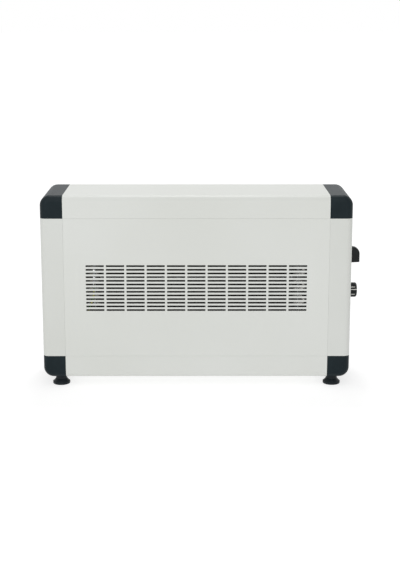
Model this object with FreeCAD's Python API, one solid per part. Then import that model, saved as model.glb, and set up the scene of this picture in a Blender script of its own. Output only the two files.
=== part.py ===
import FreeCAD, Part
import math
import os

V = FreeCAD.Vector

# All sizes are in millimetres. X runs to the right, Y to the rear, Z up.
# The origin is on the floor, under the middle of the cabinet.

# Cabinet of folded sheet
CABINET_WIDTH = 600.0
CABINET_DEPTH = 170.0
CABINET_HEIGHT = 360.0
SHEET = 1.2
EDGE_RADIUS = 12.0
LANDING = 12.0
SEAM = 0.4
SEAM_SOFTENING = 0.6

# Corner mouldings
CORNER_SIZE = 44.0
CORNER_RADIUS = 19.5
CORNER_WALL = 3.0
SPIGOT_LENGTH = 14.0
SPIGOT_ROOT = 6.0
SPIGOT_WALL = 2.4
SPIGOT_FIT = 0.3
SPIGOT_LIFT = 2.0

# Slots of the front and rear panels
SLOT_LENGTH = 35.0
SLOT_HEIGHT = 3.5
SLOT_BRIDGE = 4.2
SLOT_BAR = 3.75
GRILLE_HEIGHT = 94.0
GRILLE_MARGIN = 30.0

# Levelling feet
FOOT_HEIGHT = 19.4
FOOT_PAD_RADIUS = 17.0
FOOT_NECK_RADIUS = 11.0
FOOT_RIM = 5.5
FOOT_STEP = 1.2
FOOT_FLARE = 6.0
FOOT_SOLE = 4.0
FOOT_ROUNDING = 2.0
FOOT_CLEARANCE = 0.3
FOOT_TRAVEL = 10.0
FOOT_TO_SEAM = 12.0
FOOT_TO_FACE = 29.0
STUD_RADIUS = 4.0
STUD_HOLE_PLAY = 0.6
INSERT_RADIUS = 6.5
INSERT_LENGTH = 14.0
BOSS_WALL = 3.0

# General fits
PRESS_FIT = 0.05
RUNNING_FIT = 0.06
HOLE_PLAY = 0.2

# Aids to the modelling: overshoot of a cutting form, and how near counts as the same place
PAST = 1.0
SAME_PLACE = 1e-6

# Screws
SCREW_RADIUS = 1.9
SCREW_HEAD_RADIUS = 3.6
SCREW_HEAD = 2.2
SCREW_DOME = 1.76
SCREW_LENGTH = 9.0
PANEL_SCREW_SPACING = 220.0
CHASSIS_SCREW_SPACING = 84.0

# Cord gland in the rear panel
GLAND_RADIUS = 8.0
GLAND_FLANGE_RADIUS = 11.5
GLAND_FLANGE = 4.0
GLAND_FLANGE_ROUNDING = 2.0
GLAND_COLLAR_RADIUS = 10.0
GLAND_COLLAR = 8.0
GLAND_COLLAR_ROUNDING = 1.5
GLAND_BORE = 4.2
GLAND_TO_SIDE = 40.0
GLAND_TO_SEAM = 34.0

# Support plates
END_BAY = 104.0
PLATE = 1.5
PLATE_SETBACK = 2.0
PLATE_REAR_GAP = 10.0
PLATE_RISE = 12.0
PLATE_ROUNDING = 10.0
PLATE_FLANGE = 18.0
PLATE_WINDOW_MARGIN = 16.0

# Hairpin heating elements
ELEMENTS = 3
ELEMENT_PITCH = 14.5
ELEMENT_RADIUS = 3.25
ELEMENT_SETBACK = 24.0
ELEMENT_PLAY = 0.3
ELEMENT_OVERRUN = 5.0
COLLAR_RADIUS = 5.2
COLLAR_LENGTH = 3.0
BEAD_RADIUS = 2.9
BEAD_LENGTH = 5.0
PIN_RADIUS = 1.2
PIN_LENGTH = 9.0

# Cross-flow blower
ROTOR_RADIUS = 33.0
BLADES = 24
BLADE_DEPTH = 7.0
BLADE_THICKNESS = 0.9
BLADE_LEAN = 9.0
BLADE_BELLY = 3.15
DISCS = 4
DISC_THICKNESS = 2.0
DISC_RIM = 0.6
ROTOR_END_GAP = 6.0
ROTOR_SHIFT = 3.0
HUB_RADIUS = 9.0
HUB_LENGTH = 14.0
SHAFT_RADIUS = 3.0
SHAFT_OVERRUN = 3.0
SHAFT_HOLE_PLAY = 3.0
DUCT_HEIGHT = 96.0
DUCT_SETBACK = 12.0
DUCT_SHEET = 1.0
SCROLL_GAP = 10.0
SCROLL_FORWARD = 4.0
SCROLL_DROP = 6.0
SCROLL_END_ANGLE = 40.0
TONGUE_GAP = 4.0
TONGUE_RISE = 18.0
TONGUE_LIP = 12.0
TONGUE_RUN = 28.0

# Bearing at the left end of the impeller
BUSH_RADIUS = 6.0
BUSH_LENGTH = 9.0
GROMMET_RADIUS = 12.0
GROMMET_GROOVE = 10.0
GROMMET_LIP = 2.5
GROMMET_ROUNDING = 1.0

# Shaded-pole motor at the right end
MOTOR_STANDOFF = 10.0
STACK_LENGTH = 18.0
STACK_HALF_HEIGHT = 34.0
STACK_FRONT = 24.0
STACK_LEG = 11.0
STACK_YOKE = 10.0
STACK_WINDOW = 12.0
STACK_NOSE_ROUNDING = 4.0
STACK_BACK_ROUNDING = 2.0
STACK_WINDOW_ROUNDING = 1.0
MOTOR_ROTOR_RADIUS = 14.0
MOTOR_AIR_GAP = 0.4
COIL_THICKNESS = 8.0
COIL_END_GAP = 4.0
COIL_PLAY = 0.2
BRACKET_THICKNESS = 3.0
BRACKET_HALF_WIDTH = 10.0
BRACKET_BOSS = 6.0
BRACKET_ROUNDING = 4.0
MOTOR_SCREW_OFFSET = 27.0
SPACER_RADIUS = 4.5

# Thermal cut-out on the left support plate
CUTOUT_RADIUS = 8.0
CUTOUT_DEPTH = 9.0
CUTOUT_FLANGE_RADIUS = 12.0
CUTOUT_FLANGE = 1.2
CUTOUT_ROUNDING = 1.0

# Controls on the right side
SELECTOR_RISE = 49.5
THERMOSTAT_RISE = -22.0
CONTROL_BODY = 30.0
CONTROL_BODY_DEPTH = 22.0
CONTROL_BODY_EDGE = 3.0
THREAD_RADIUS = 5.0
THREAD_LENGTH = 3.4
NUT_RADIUS = 8.0
NUT_THICKNESS = 2.2
SPINDLE_RADIUS = 3.0
SPINDLE_GRIP = 11.0
KNOB_GAP = 0.8
KNOB_RECESS_RADIUS = 9.5
KNOB_RECESS = 4.0
TAB_WIDTH = 6.3
TAB_THICKNESS = 0.8
TAB_LENGTH = 8.0
TAB_SPACING = 9.0
SELECTOR_KNOB_HEIGHT = 23.5
SELECTOR_SKIRT_RADIUS = 17.0
SELECTOR_SKIRT = 6.0
SELECTOR_BAR_UP = 16.5
SELECTOR_BAR_DOWN = 15.5
SELECTOR_BAR_WIDTH = 12.0
SELECTOR_NOSE_RADIUS = 14.0
SELECTOR_SOFTENING = 1.2
SELECTOR_SIDE_SOFTENING = 0.96
THERMOSTAT_KNOB_HEIGHT = 19.5
THERMOSTAT_KNOB_RADIUS = 14.6
THERMOSTAT_KNOB_ROUNDING = 4.0
THERMOSTAT_REST_RISE = 13.0
FLUTES = 18
FLUTE_RADIUS = 1.6
FLUTE_DEPTH = 0.9

# Terminal block and leads
TERMINAL_WAYS = 3
TERMINAL_LENGTH = 30.0
TERMINAL_DEPTH = 20.0
TERMINAL_HEIGHT = 14.0
TERMINAL_TO_PLATE = 12.0
TERMINAL_TO_REAR = 40.0
LEAD_RADIUS = 1.5
LEAD_SPACING = 3.6
LEAD_LIFT = 0.2
LEAD_BEND_SHARE = 0.45
EYELET_RADIUS = 4.0
EYELET_THICKNESS = 1.0
EYELET_OVERLAP = 0.2
EARTH_TO_EDGE = 4.5
EARTH_STUD_X = 12.0
EARTH_STUD_Y = -24.0

# Places worked out from the sizes above
HALF_WIDTH = CABINET_WIDTH / 2
FRONT = -CABINET_DEPTH / 2
REAR = CABINET_DEPTH / 2
BASE = FOOT_HEIGHT
TOP = BASE + CABINET_HEIGHT
MIDDLE = BASE + CABINET_HEIGHT / 2
FLOOR = BASE + SHEET
RAIL_END = HALF_WIDTH - CORNER_SIZE
SEAM_LOW = BASE + CORNER_SIZE
SEAM_HIGH = TOP - CORNER_SIZE
FOOT_X = RAIL_END + FOOT_TO_SEAM
FOOT_Y = REAR - FOOT_TO_FACE
PLATE_X = HALF_WIDTH - END_BAY
PLATE_OUT = PLATE_X + PLATE
PLATE_FRONT = FRONT + EDGE_RADIUS + PLATE_SETBACK
PLATE_REAR = REAR - EDGE_RADIUS - PLATE_REAR_GAP
DUCT_LOW = MIDDLE - DUCT_HEIGHT / 2
DUCT_HIGH = MIDDLE + DUCT_HEIGHT / 2
PLATE_TOP = DUCT_HIGH + PLATE_RISE
ELEMENT_Y = FRONT + SHEET + ELEMENT_SETBACK
ROTOR_Y = (ELEMENT_Y + REAR - SHEET) / 2 + ROTOR_SHIFT
SCROLL_RADIUS = ROTOR_RADIUS + SCROLL_GAP
ROTOR_Z = DUCT_LOW + SCROLL_RADIUS + SCROLL_DROP
ROTOR_END = PLATE_X - ROTOR_END_GAP
STACK_X = PLATE_OUT + MOTOR_STANDOFF
STACK_END = STACK_X + STACK_LENGTH
SELECTOR_Z = MIDDLE + SELECTOR_RISE
THERMOSTAT_Z = MIDDLE + THERMOSTAT_RISE
CONTROL_FACE = HALF_WIDTH - SHEET
PIN_END = -(PLATE_OUT + ELEMENT_OVERRUN + BEAD_LENGTH + PIN_LENGTH)
TAB_END = CONTROL_FACE - CONTROL_BODY_DEPTH - TAB_LENGTH


def outline(corners):
    """Closed wire through corners given as (point, radius), each rounded by its radius."""
    spans = []
    count = len(corners)
    for index, (point, radius) in enumerate(corners):
        before = (point - corners[index - 1][0]).normalize()
        after = (corners[(index + 1) % count][0] - point).normalize()
        half_turn = before.getAngle(after) / 2
        reach = radius * math.tan(half_turn)
        inward = (after - before).normalize()
        middle = point + inward * (radius / math.cos(half_turn) - radius)
        spans.append((point - before * reach, middle, point + after * reach, radius))
    edges = []
    for index, (start, middle, end, radius) in enumerate(spans):
        if radius > 0:
            edges.append(Part.Arc(start, middle, end).toShape())
        following = spans[(index + 1) % count][0]
        if end.distanceToPoint(following) > SAME_PLACE:
            edges.append(Part.LineSegment(end, following).toShape())
    return Part.Wire(edges)


def prism(wires, sweep):
    """Solid swept from an outer wire, less the hole wires that follow it."""
    return Part.makeFace(wires, "Part::FaceMakerBullseye").extrude(sweep)


def block(x, y, z):
    """Box between the (low, high) pairs x, y and z."""
    return Part.makeBox(x[1] - x[0], y[1] - y[0], z[1] - z[0], V(x[0], y[0], z[0]))


def rod(radius, start, end):
    """Solid cylinder from start to end."""
    return Part.makeCylinder(radius, start.distanceToPoint(end), start, end - start)


def tube(outer, inner, start, end):
    """Hollow cylinder from start to end."""
    return rod(outer, start, end).cut(rod(inner, start, end))


def turned(profile, origin, axis):
    """Solid of revolution of (radius, height, rounding) corners about axis."""
    wire = outline([(V(radius, 0, height), rounding) for radius, height, rounding in profile])
    solid = Part.Face(wire).revolve(V(0, 0, 0), V(0, 0, 1), 360)
    solid.Placement = FreeCAD.Placement(origin, FreeCAD.Rotation(V(0, 0, 1), axis))
    return solid


def circle(radius, centre, normal):
    """Round wire for a hole."""
    return Part.Wire(Part.Circle(centre, normal, radius).toShape())


def mirrored_left(shape):
    """The same shape on the other side of the cabinet's middle plane."""
    return shape.mirror(V(0, 0, 0), V(1, 0, 0))


def panel_screw_places():
    """Places of the rear panel's screws, on the middle of the landings above and below it."""
    rows = (SEAM_LOW + LANDING / 2, SEAM_HIGH - LANDING / 2)
    columns = (-PANEL_SCREW_SPACING, 0, PANEL_SCREW_SPACING)
    return [V(x, REAR, z) for z in rows for x in columns]


def chassis_screw_places():
    """Places of the screws that hold the support plates to the bottom rail."""
    middle_y = (PLATE_FRONT + PLATE_REAR) / 2
    x = PLATE_OUT + PLATE_FLANGE / 2
    return [
        V(side * x, middle_y + end * CHASSIS_SCREW_SPACING / 2, BASE)
        for side in (-1, 1)
        for end in (-1, 1)
    ]


def screw(place, outward):
    """Domed screw whose head rests at place."""
    profile = [
        (0, -SCREW_LENGTH, 0),
        (SCREW_RADIUS, -SCREW_LENGTH, 0),
        (SCREW_RADIUS, 0, 0),
        (SCREW_HEAD_RADIUS, 0, 0),
        (SCREW_HEAD_RADIUS, SCREW_HEAD, SCREW_DOME),
        (0, SCREW_HEAD, 0),
    ]
    return turned(profile, place, outward)


def rail(place, run):
    """Folded channel whose lips step back by one sheet to carry the panels."""
    front_in, rear_in = FRONT + SHEET, REAR - SHEET
    front_deep, rear_deep = FRONT + 2 * SHEET, REAR - 2 * SHEET
    inner_height = CORNER_SIZE - SHEET
    inner_radius = EDGE_RADIUS - SHEET
    outer_side = [
        (front_in, -LANDING, 0),
        (front_in, 0, 0),
        (FRONT, 0, SEAM_SOFTENING),
        (FRONT, CORNER_SIZE, EDGE_RADIUS),
        (REAR, CORNER_SIZE, EDGE_RADIUS),
        (REAR, 0, SEAM_SOFTENING),
        (rear_in, 0, 0),
        (rear_in, -LANDING, 0),
    ]
    inner_side = [
        (rear_deep, -LANDING, 0),
        (rear_deep, SHEET, 0),
        (rear_in, SHEET, 0),
        (rear_in, inner_height, inner_radius),
        (front_in, inner_height, inner_radius),
        (front_in, SHEET, 0),
        (front_deep, SHEET, 0),
        (front_deep, -LANDING, 0),
    ]
    corners = [(place(depth, out), radius) for depth, out, radius in outer_side + inner_side]
    return prism([outline(corners)], run)


def top_rail():
    """Top of the cabinet, with holes for the rear panel's upper screws."""
    shape = rail(lambda y, out: V(-RAIL_END, y, SEAM_HIGH + out), V(2 * RAIL_END, 0, 0))
    return drilled_lips(trimmed_lips(shape, SEAM_HIGH - LANDING, SEAM_HIGH))


def bottom_rail():
    """Floor of the cabinet, with holes for the lower panel screws and the support plates."""
    shape = rail(lambda y, out: V(-RAIL_END, y, SEAM_LOW - out), V(2 * RAIL_END, 0, 0))
    shape = drilled_lips(trimmed_lips(shape, SEAM_LOW, SEAM_LOW + LANDING))
    for place in chassis_screw_places():
        shape = shape.cut(rod(SCREW_RADIUS + HOLE_PLAY, place, place + V(0, 0, SHEET)))
    return shape


def trimmed_lips(shape, low, high):
    """Shortens the lips of a level rail so that they clear the side rails."""
    for side in (-1, 1):
        ends = sorted((side * (RAIL_END - SEAM), side * (RAIL_END + SEAM)))
        shape = shape.cut(block(ends, (FRONT, REAR), (low, high)))
    return shape


def drilled_lips(shape):
    """Holes of the rear panel's screws through the lips of a level rail."""
    for place in panel_screw_places():
        shape = shape.cut(rod(SCREW_RADIUS + HOLE_PLAY, place, place - V(0, 2 * SHEET, 0)))
    return shape


def side_rail():
    """Right side of the cabinet, with its lips notched to clear the level rails' lips."""
    run = V(0, 0, SEAM_HIGH - SEAM_LOW)
    shape = rail(lambda y, out: V(RAIL_END + out, y, SEAM_LOW), run)
    notch = LANDING + SEAM
    for ends in ((SEAM_LOW, SEAM_LOW + notch), (SEAM_HIGH - notch, SEAM_HIGH)):
        shape = shape.cut(block((RAIL_END - LANDING, RAIL_END), (FRONT, REAR), ends))
    return shape


def right_rail():
    """Side rail that carries the controls."""
    shape = side_rail()
    for height in (SELECTOR_Z, THERMOSTAT_Z):
        hole = rod(THREAD_RADIUS + HOLE_PLAY, V(CONTROL_FACE, 0, height), V(HALF_WIDTH, 0, height))
        shape = shape.cut(hole)
    return shape


def slot_wires(y):
    """Outlines of all slots of a panel, in rows and columns about its middle."""
    step_x = SLOT_LENGTH + SLOT_BRIDGE
    step_z = SLOT_HEIGHT + SLOT_BAR
    columns = int((2 * RAIL_END - 2 * GRILLE_MARGIN + SLOT_BRIDGE) // step_x)
    rows = int((GRILLE_HEIGHT + SLOT_BAR) // step_z)
    wires = []
    for row in range(rows):
        low = MIDDLE + (row - (rows - 1) / 2) * step_z - SLOT_HEIGHT / 2
        for column in range(columns):
            left = (column - (columns - 1) / 2) * step_x - SLOT_LENGTH / 2
            right, high = left + SLOT_LENGTH, low + SLOT_HEIGHT
            square = [V(left, y, low), V(right, y, low), V(right, y, high), V(left, y, high)]
            wires.append(Part.makePolygon(square + square[:1]))
    return wires


def panel(y, inward, holes):
    """Flat slotted sheet between the rails, its visible edges slightly broken."""
    side, low, high = RAIL_END - SEAM, SEAM_LOW + SEAM, SEAM_HIGH - SEAM
    square = [V(-side, y, low), V(side, y, low), V(side, y, high), V(-side, y, high)]
    border = Part.makePolygon(square + square[:1])
    shape = prism([border] + slot_wires(y) + holes, V(0, inward * SHEET, 0))
    rim = []
    for edge in shape.Edges:
        middle = edge.CenterOfMass
        on_side = abs(abs(middle.x) - side) < SAME_PLACE
        on_end = min(abs(middle.z - low), abs(middle.z - high)) < SAME_PLACE
        if abs(middle.y - y) < SAME_PLACE and (on_side or on_end):
            rim.append(edge)
    return shape.makeFillet(SEAM_SOFTENING, rim)


def front_panel():
    """Outlet panel."""
    return panel(FRONT, 1, [])


def gland_place():
    """Middle of the cord gland, on the rear face."""
    return V(RAIL_END - GLAND_TO_SIDE, REAR, SEAM_LOW + GLAND_TO_SEAM)


def rear_panel():
    """Intake panel, with its screw holes and the hole of the cord gland."""
    holes = [circle(SCREW_RADIUS + HOLE_PLAY, place, V(0, 1, 0)) for place in panel_screw_places()]
    holes.append(circle(GLAND_RADIUS + HOLE_PLAY, gland_place(), V(0, 1, 0)))
    return panel(REAR, -1, holes)


def cord_gland():
    """Moulded bush that snaps into the rear panel, where a supply cord would enter."""
    collar_end = -SHEET - GLAND_COLLAR
    profile = [
        (GLAND_BORE, collar_end, 0),
        (GLAND_COLLAR_RADIUS, collar_end, GLAND_COLLAR_ROUNDING),
        (GLAND_COLLAR_RADIUS, -SHEET, 0),
        (GLAND_RADIUS, -SHEET, 0),
        (GLAND_RADIUS, 0, 0),
        (GLAND_FLANGE_RADIUS, 0, 0),
        (GLAND_FLANGE_RADIUS, GLAND_FLANGE, GLAND_FLANGE_ROUNDING),
        (GLAND_BORE, GLAND_FLANGE, 0),
    ]
    return turned(profile, gland_place(), V(0, 1, 0))


def corner_form(inset, past_x, past_z):
    """Outer form of the upper right corner, set in all round and run past the two rail seams."""
    right, high = HALF_WIDTH - inset, TOP - inset
    left, low = RAIL_END - past_x, SEAM_HIGH - past_z
    front, rear = FRONT + inset, REAR - inset
    corners = [
        (V(left, front, low), 0),
        (V(right, front, low), 0),
        (V(right, front, high), CORNER_RADIUS - inset),
        (V(left, front, high), 0),
    ]
    shape = prism([outline(corners)], V(0, rear - front, 0))
    rim = []
    for edge in shape.Edges:
        middle = edge.CenterOfMass
        on_face = min(abs(middle.y - front), abs(middle.y - rear)) < SAME_PLACE
        if on_face and middle.x > left + SAME_PLACE and middle.z > low + SAME_PLACE:
            rim.append(edge)
    return shape.makeFillet(EDGE_RADIUS - inset, rim)


def upper_corner():
    """Hollow corner moulding with a tongue in the end of each rail that it joins."""
    shell = corner_form(0, 0, 0).cut(corner_form(CORNER_WALL, PAST, PAST))
    outside = SHEET + SPIGOT_FIT
    inside = outside + SPIGOT_WALL
    lift = SHEET + SPIGOT_LIFT
    depth = (FRONT, REAR)
    level = corner_form(outside, SPIGOT_LENGTH, 0).cut(corner_form(inside, SPIGOT_LENGTH + PAST, PAST))
    level = level.common(
        block((RAIL_END - SPIGOT_LENGTH, RAIL_END + SPIGOT_ROOT), depth, (SEAM_HIGH + lift, TOP))
    )
    upright = corner_form(outside, 0, SPIGOT_LENGTH).cut(corner_form(inside, PAST, SPIGOT_LENGTH + PAST))
    upright = upright.common(
        block((RAIL_END + lift, HALF_WIDTH), depth, (SEAM_HIGH - SPIGOT_LENGTH, SEAM_HIGH + SPIGOT_ROOT))
    )
    return shell.multiFuse([level, upright]).removeSplitter()


def lower_corner(upper):
    """The same moulding turned over, with a boss for the insert of each foot."""
    shape = upper.mirror(V(0, 0, MIDDLE), V(0, 0, 1))
    seat = BASE + CORNER_WALL
    for y in (-FOOT_Y, FOOT_Y):
        axis = [V(FOOT_X, y, BASE), V(FOOT_X, y, seat), V(FOOT_X, y, seat + INSERT_LENGTH)]
        shape = shape.fuse(rod(INSERT_RADIUS + BOSS_WALL, axis[0], axis[2]))
        shape = shape.cut(rod(INSERT_RADIUS + PRESS_FIT, axis[1], axis[2]))
        shape = shape.cut(rod(STUD_RADIUS + STUD_HOLE_PLAY, axis[0], axis[1]))
    return shape.removeSplitter()


def foot(x, y):
    """Moulded foot, flared from its neck to a stepped pad, hollow for its stud."""
    neck_top = FOOT_HEIGHT - FOOT_CLEARANCE
    shoulder = FOOT_PAD_RADIUS - FOOT_STEP
    hole = STUD_RADIUS + PRESS_FIT
    profile = [
        (0, 0, 0),
        (FOOT_PAD_RADIUS, 0, FOOT_ROUNDING),
        (FOOT_PAD_RADIUS, FOOT_RIM, FOOT_STEP / 2),
        (shoulder, FOOT_RIM, 0),
        (FOOT_NECK_RADIUS, FOOT_RIM + FOOT_FLARE, FOOT_FLARE / 2),
        (FOOT_NECK_RADIUS, neck_top, 0),
        (hole, neck_top, 0),
        (hole, FOOT_SOLE, 0),
        (0, FOOT_SOLE, 0),
    ]
    return turned(profile, V(x, y, 0), V(0, 0, 1))


def foot_stud(x, y):
    """Steel stud of a foot, long enough to stay in its insert when the foot is let down."""
    top = BASE + CORNER_WALL + INSERT_LENGTH + FOOT_TRAVEL
    return rod(STUD_RADIUS, V(x, y, FOOT_SOLE), V(x, y, top))


def foot_inserts():
    """Threaded inserts in the bosses of the lower corners."""
    seat = BASE + CORNER_WALL
    inner = STUD_RADIUS + RUNNING_FIT
    return Part.makeCompound([
        tube(INSERT_RADIUS, inner, V(x, y, seat), V(x, y, seat + INSERT_LENGTH))
        for x in (-FOOT_X, FOOT_X)
        for y in (-FOOT_Y, FOOT_Y)
    ])


def element_heights():
    """Heights of all element runs, in pairs that share a bend."""
    runs = 2 * ELEMENTS
    return [MIDDLE + (run - (runs - 1) / 2) * ELEMENT_PITCH for run in range(runs)]


def motor_screw_heights():
    """Heights of the two screws through the motor."""
    return (ROTOR_Z - MOTOR_SCREW_OFFSET, ROTOR_Z + MOTOR_SCREW_OFFSET)


def support_plate(side, extra_holes):
    """Sheet that carries the elements and the blower, with a flange on the bottom rail."""
    x = side * PLATE_X
    corners = [
        (V(x, PLATE_FRONT, FLOOR), 0),
        (V(x, PLATE_REAR, FLOOR), 0),
        (V(x, PLATE_REAR, PLATE_TOP), PLATE_ROUNDING),
        (V(x, PLATE_FRONT, PLATE_TOP), PLATE_ROUNDING),
    ]
    margin = PLATE_WINDOW_MARGIN
    window = [
        (V(x, PLATE_FRONT + margin, FLOOR + margin), PLATE_ROUNDING),
        (V(x, PLATE_REAR - margin, FLOOR + margin), PLATE_ROUNDING),
        (V(x, PLATE_REAR - margin, DUCT_LOW - margin), PLATE_ROUNDING),
        (V(x, PLATE_FRONT + margin, DUCT_LOW - margin), PLATE_ROUNDING),
    ]
    normal = V(1, 0, 0)
    holes = [circle(ELEMENT_RADIUS + ELEMENT_PLAY, V(x, ELEMENT_Y, z), normal) for z in element_heights()]
    wires = [outline(corners), outline(window)] + holes + extra_holes
    sheet = prism(wires, V(side * PLATE, 0, 0))
    across = sorted((x, side * (PLATE_OUT + PLATE_FLANGE)))
    flange = block(across, (PLATE_FRONT, PLATE_REAR), (FLOOR, FLOOR + PLATE))
    shape = sheet.fuse(flange)
    for place in chassis_screw_places():
        shape = shape.cut(rod(SCREW_RADIUS + HOLE_PLAY, place, place + V(0, 0, SHEET + PLATE)))
    return shape.removeSplitter()


def support_plate_left():
    """Plate with the holes of the bearing grommet and of the earth screw."""
    normal = V(1, 0, 0)
    bearing = circle(GROMMET_GROOVE + PRESS_FIT, V(-PLATE_X, ROTOR_Y, ROTOR_Z), normal)
    earth = circle(SCREW_RADIUS + HOLE_PLAY, V(-PLATE_X, earth_place().y, earth_place().z), normal)
    return support_plate(-1, [bearing, earth])


def support_plate_right():
    """Plate with the motor's screw holes and a clear hole for its shaft."""
    normal = V(1, 0, 0)
    holes = [
        circle(SCREW_RADIUS + HOLE_PLAY, V(PLATE_X, ROTOR_Y, height), normal)
        for height in motor_screw_heights()
    ]
    holes.append(circle(SHAFT_RADIUS + SHAFT_HOLE_PLAY, V(PLATE_X, ROTOR_Y, ROTOR_Z), normal))
    return support_plate(1, holes)


def heating_element(index):
    """Sheathed hairpin: two level runs through both plates, bent round outside the right one."""
    low, high = element_heights()[2 * index:2 * index + 2]
    start = -(PLATE_OUT + ELEMENT_OVERRUN)
    bend = PLATE_OUT + ELEMENT_OVERRUN
    turn = V(bend + ELEMENT_PITCH / 2, ELEMENT_Y, (low + high) / 2)
    path = Part.Wire([
        Part.LineSegment(V(start, ELEMENT_Y, low), V(bend, ELEMENT_Y, low)).toShape(),
        Part.Arc(V(bend, ELEMENT_Y, low), turn, V(bend, ELEMENT_Y, high)).toShape(),
        Part.LineSegment(V(bend, ELEMENT_Y, high), V(start, ELEMENT_Y, high)).toShape(),
    ])
    section = circle(ELEMENT_RADIUS, V(start, ELEMENT_Y, low), V(1, 0, 0))
    return path.makePipeShell([section], True, False)


def element_collars():
    """Ferrules crimped on the elements, which stop them against the left plate."""
    inner = ELEMENT_RADIUS + PRESS_FIT
    start, end = -PLATE_OUT, -(PLATE_OUT + COLLAR_LENGTH)
    return Part.makeCompound([
        tube(COLLAR_RADIUS, inner, V(start, ELEMENT_Y, z), V(end, ELEMENT_Y, z))
        for z in element_heights()
    ])


def element_beads():
    """Ceramic beads that close the ends of the sheaths round their pins."""
    start = -(PLATE_OUT + ELEMENT_OVERRUN)
    end = start - BEAD_LENGTH
    return Part.makeCompound([
        tube(BEAD_RADIUS, PIN_RADIUS + PRESS_FIT, V(start, ELEMENT_Y, z), V(end, ELEMENT_Y, z))
        for z in element_heights()
    ])


def element_pins():
    """Terminal pins that stand out of the beads."""
    start = -(PLATE_OUT + ELEMENT_OVERRUN)
    return Part.makeCompound([
        rod(PIN_RADIUS, V(start, ELEMENT_Y, z), V(PIN_END, ELEMENT_Y, z)) for z in element_heights()
    ])


def rotor_point(x, radius, degrees):
    """Point at a radius and angle about the impeller's axis."""
    angle = math.radians(degrees)
    return V(x, ROTOR_Y + radius * math.cos(angle), ROTOR_Z + radius * math.sin(angle))


def blade(degrees):
    """One curved blade over the whole length of the impeller, its tip leaning the way it runs."""
    inner, outer = ROTOR_RADIUS - BLADE_DEPTH, ROTOR_RADIUS
    middle = (inner + outer) / 2
    wide = math.degrees(BLADE_THICKNESS / middle)

    def side(turn):
        return (
            rotor_point(-ROTOR_END, inner, degrees + turn),
            rotor_point(-ROTOR_END, middle, degrees + turn - BLADE_BELLY),
            rotor_point(-ROTOR_END, outer, degrees + turn - BLADE_LEAN),
        )

    near, far = side(0), side(wide)
    wire = Part.Wire([
        Part.Arc(*near).toShape(),
        Part.LineSegment(near[2], far[2]).toShape(),
        Part.Arc(*reversed(far)).toShape(),
        Part.LineSegment(far[0], near[0]).toShape(),
    ])
    return prism([wire], V(2 * ROTOR_END, 0, 0))


def fan_impeller():
    """Cross-flow impeller: curved blades held by discs, with a hub in each end disc."""
    disc_radius = ROTOR_RADIUS + DISC_RIM
    ring_bore = ROTOR_RADIUS - BLADE_DEPTH - DISC_RIM
    span = 2 * ROTOR_END - DISC_THICKNESS
    pieces = [blade(360.0 * number / BLADES) for number in range(BLADES)]
    for number in range(DISCS):
        x = -ROTOR_END + span * number / (DISCS - 1)
        ends = (rotor_point(x, 0, 0), rotor_point(x + DISC_THICKNESS, 0, 0))
        if number in (0, DISCS - 1):
            pieces.append(rod(disc_radius, *ends))
        else:
            pieces.append(tube(disc_radius, ring_bore, *ends))
    for side in (-1, 1):
        outer_end = rotor_point(side * ROTOR_END, 0, 0)
        inner_end = rotor_point(side * (ROTOR_END - HUB_LENGTH), 0, 0)
        pieces.append(rod(HUB_RADIUS, outer_end, inner_end))
    shape = pieces[0].multiFuse(pieces[1:])
    for side in (-1, 1):
        outer_end = rotor_point(side * ROTOR_END, 0, 0)
        inner_end = rotor_point(side * (ROTOR_END - HUB_LENGTH), 0, 0)
        shape = shape.cut(rod(SHAFT_RADIUS + PRESS_FIT, outer_end, inner_end))
    return shape.removeSplitter()


def stub_shaft():
    """Short shaft at the impeller's left end."""
    start = -(PLATE_X + PLATE / 2 + BUSH_LENGTH / 2 + SHAFT_OVERRUN)
    end = -(ROTOR_END - HUB_LENGTH)
    return rod(SHAFT_RADIUS, rotor_point(start, 0, 0), rotor_point(end, 0, 0))


def motor_shaft():
    """Shaft of the motor, which runs into the impeller's right hub."""
    start = ROTOR_END - HUB_LENGTH
    end = STACK_END + BRACKET_THICKNESS + BRACKET_BOSS + SHAFT_OVERRUN
    return rod(SHAFT_RADIUS, rotor_point(start, 0, 0), rotor_point(end, 0, 0))


def bearing_bush():
    """Sintered bush that carries the stub shaft."""
    middle = -(PLATE_X + PLATE / 2)
    ends = (rotor_point(middle - BUSH_LENGTH / 2, 0, 0), rotor_point(middle + BUSH_LENGTH / 2, 0, 0))
    return tube(BUSH_RADIUS, SHAFT_RADIUS + RUNNING_FIT, *ends)


def bearing_grommet():
    """Rubber ring that holds the bush in the left plate and keeps noise out of the cabinet."""
    half = PLATE / 2
    edge = half + GROMMET_LIP
    bore = BUSH_RADIUS + PRESS_FIT
    profile = [
        (bore, -edge, 0),
        (GROMMET_RADIUS, -edge, GROMMET_ROUNDING),
        (GROMMET_RADIUS, -half, 0),
        (GROMMET_GROOVE, -half, 0),
        (GROMMET_GROOVE, half, 0),
        (GROMMET_RADIUS, half, 0),
        (GROMMET_RADIUS, edge, GROMMET_ROUNDING),
        (bore, edge, 0),
    ]
    return turned(profile, rotor_point(-(PLATE_X + half), 0, 0), V(1, 0, 0))


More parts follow.
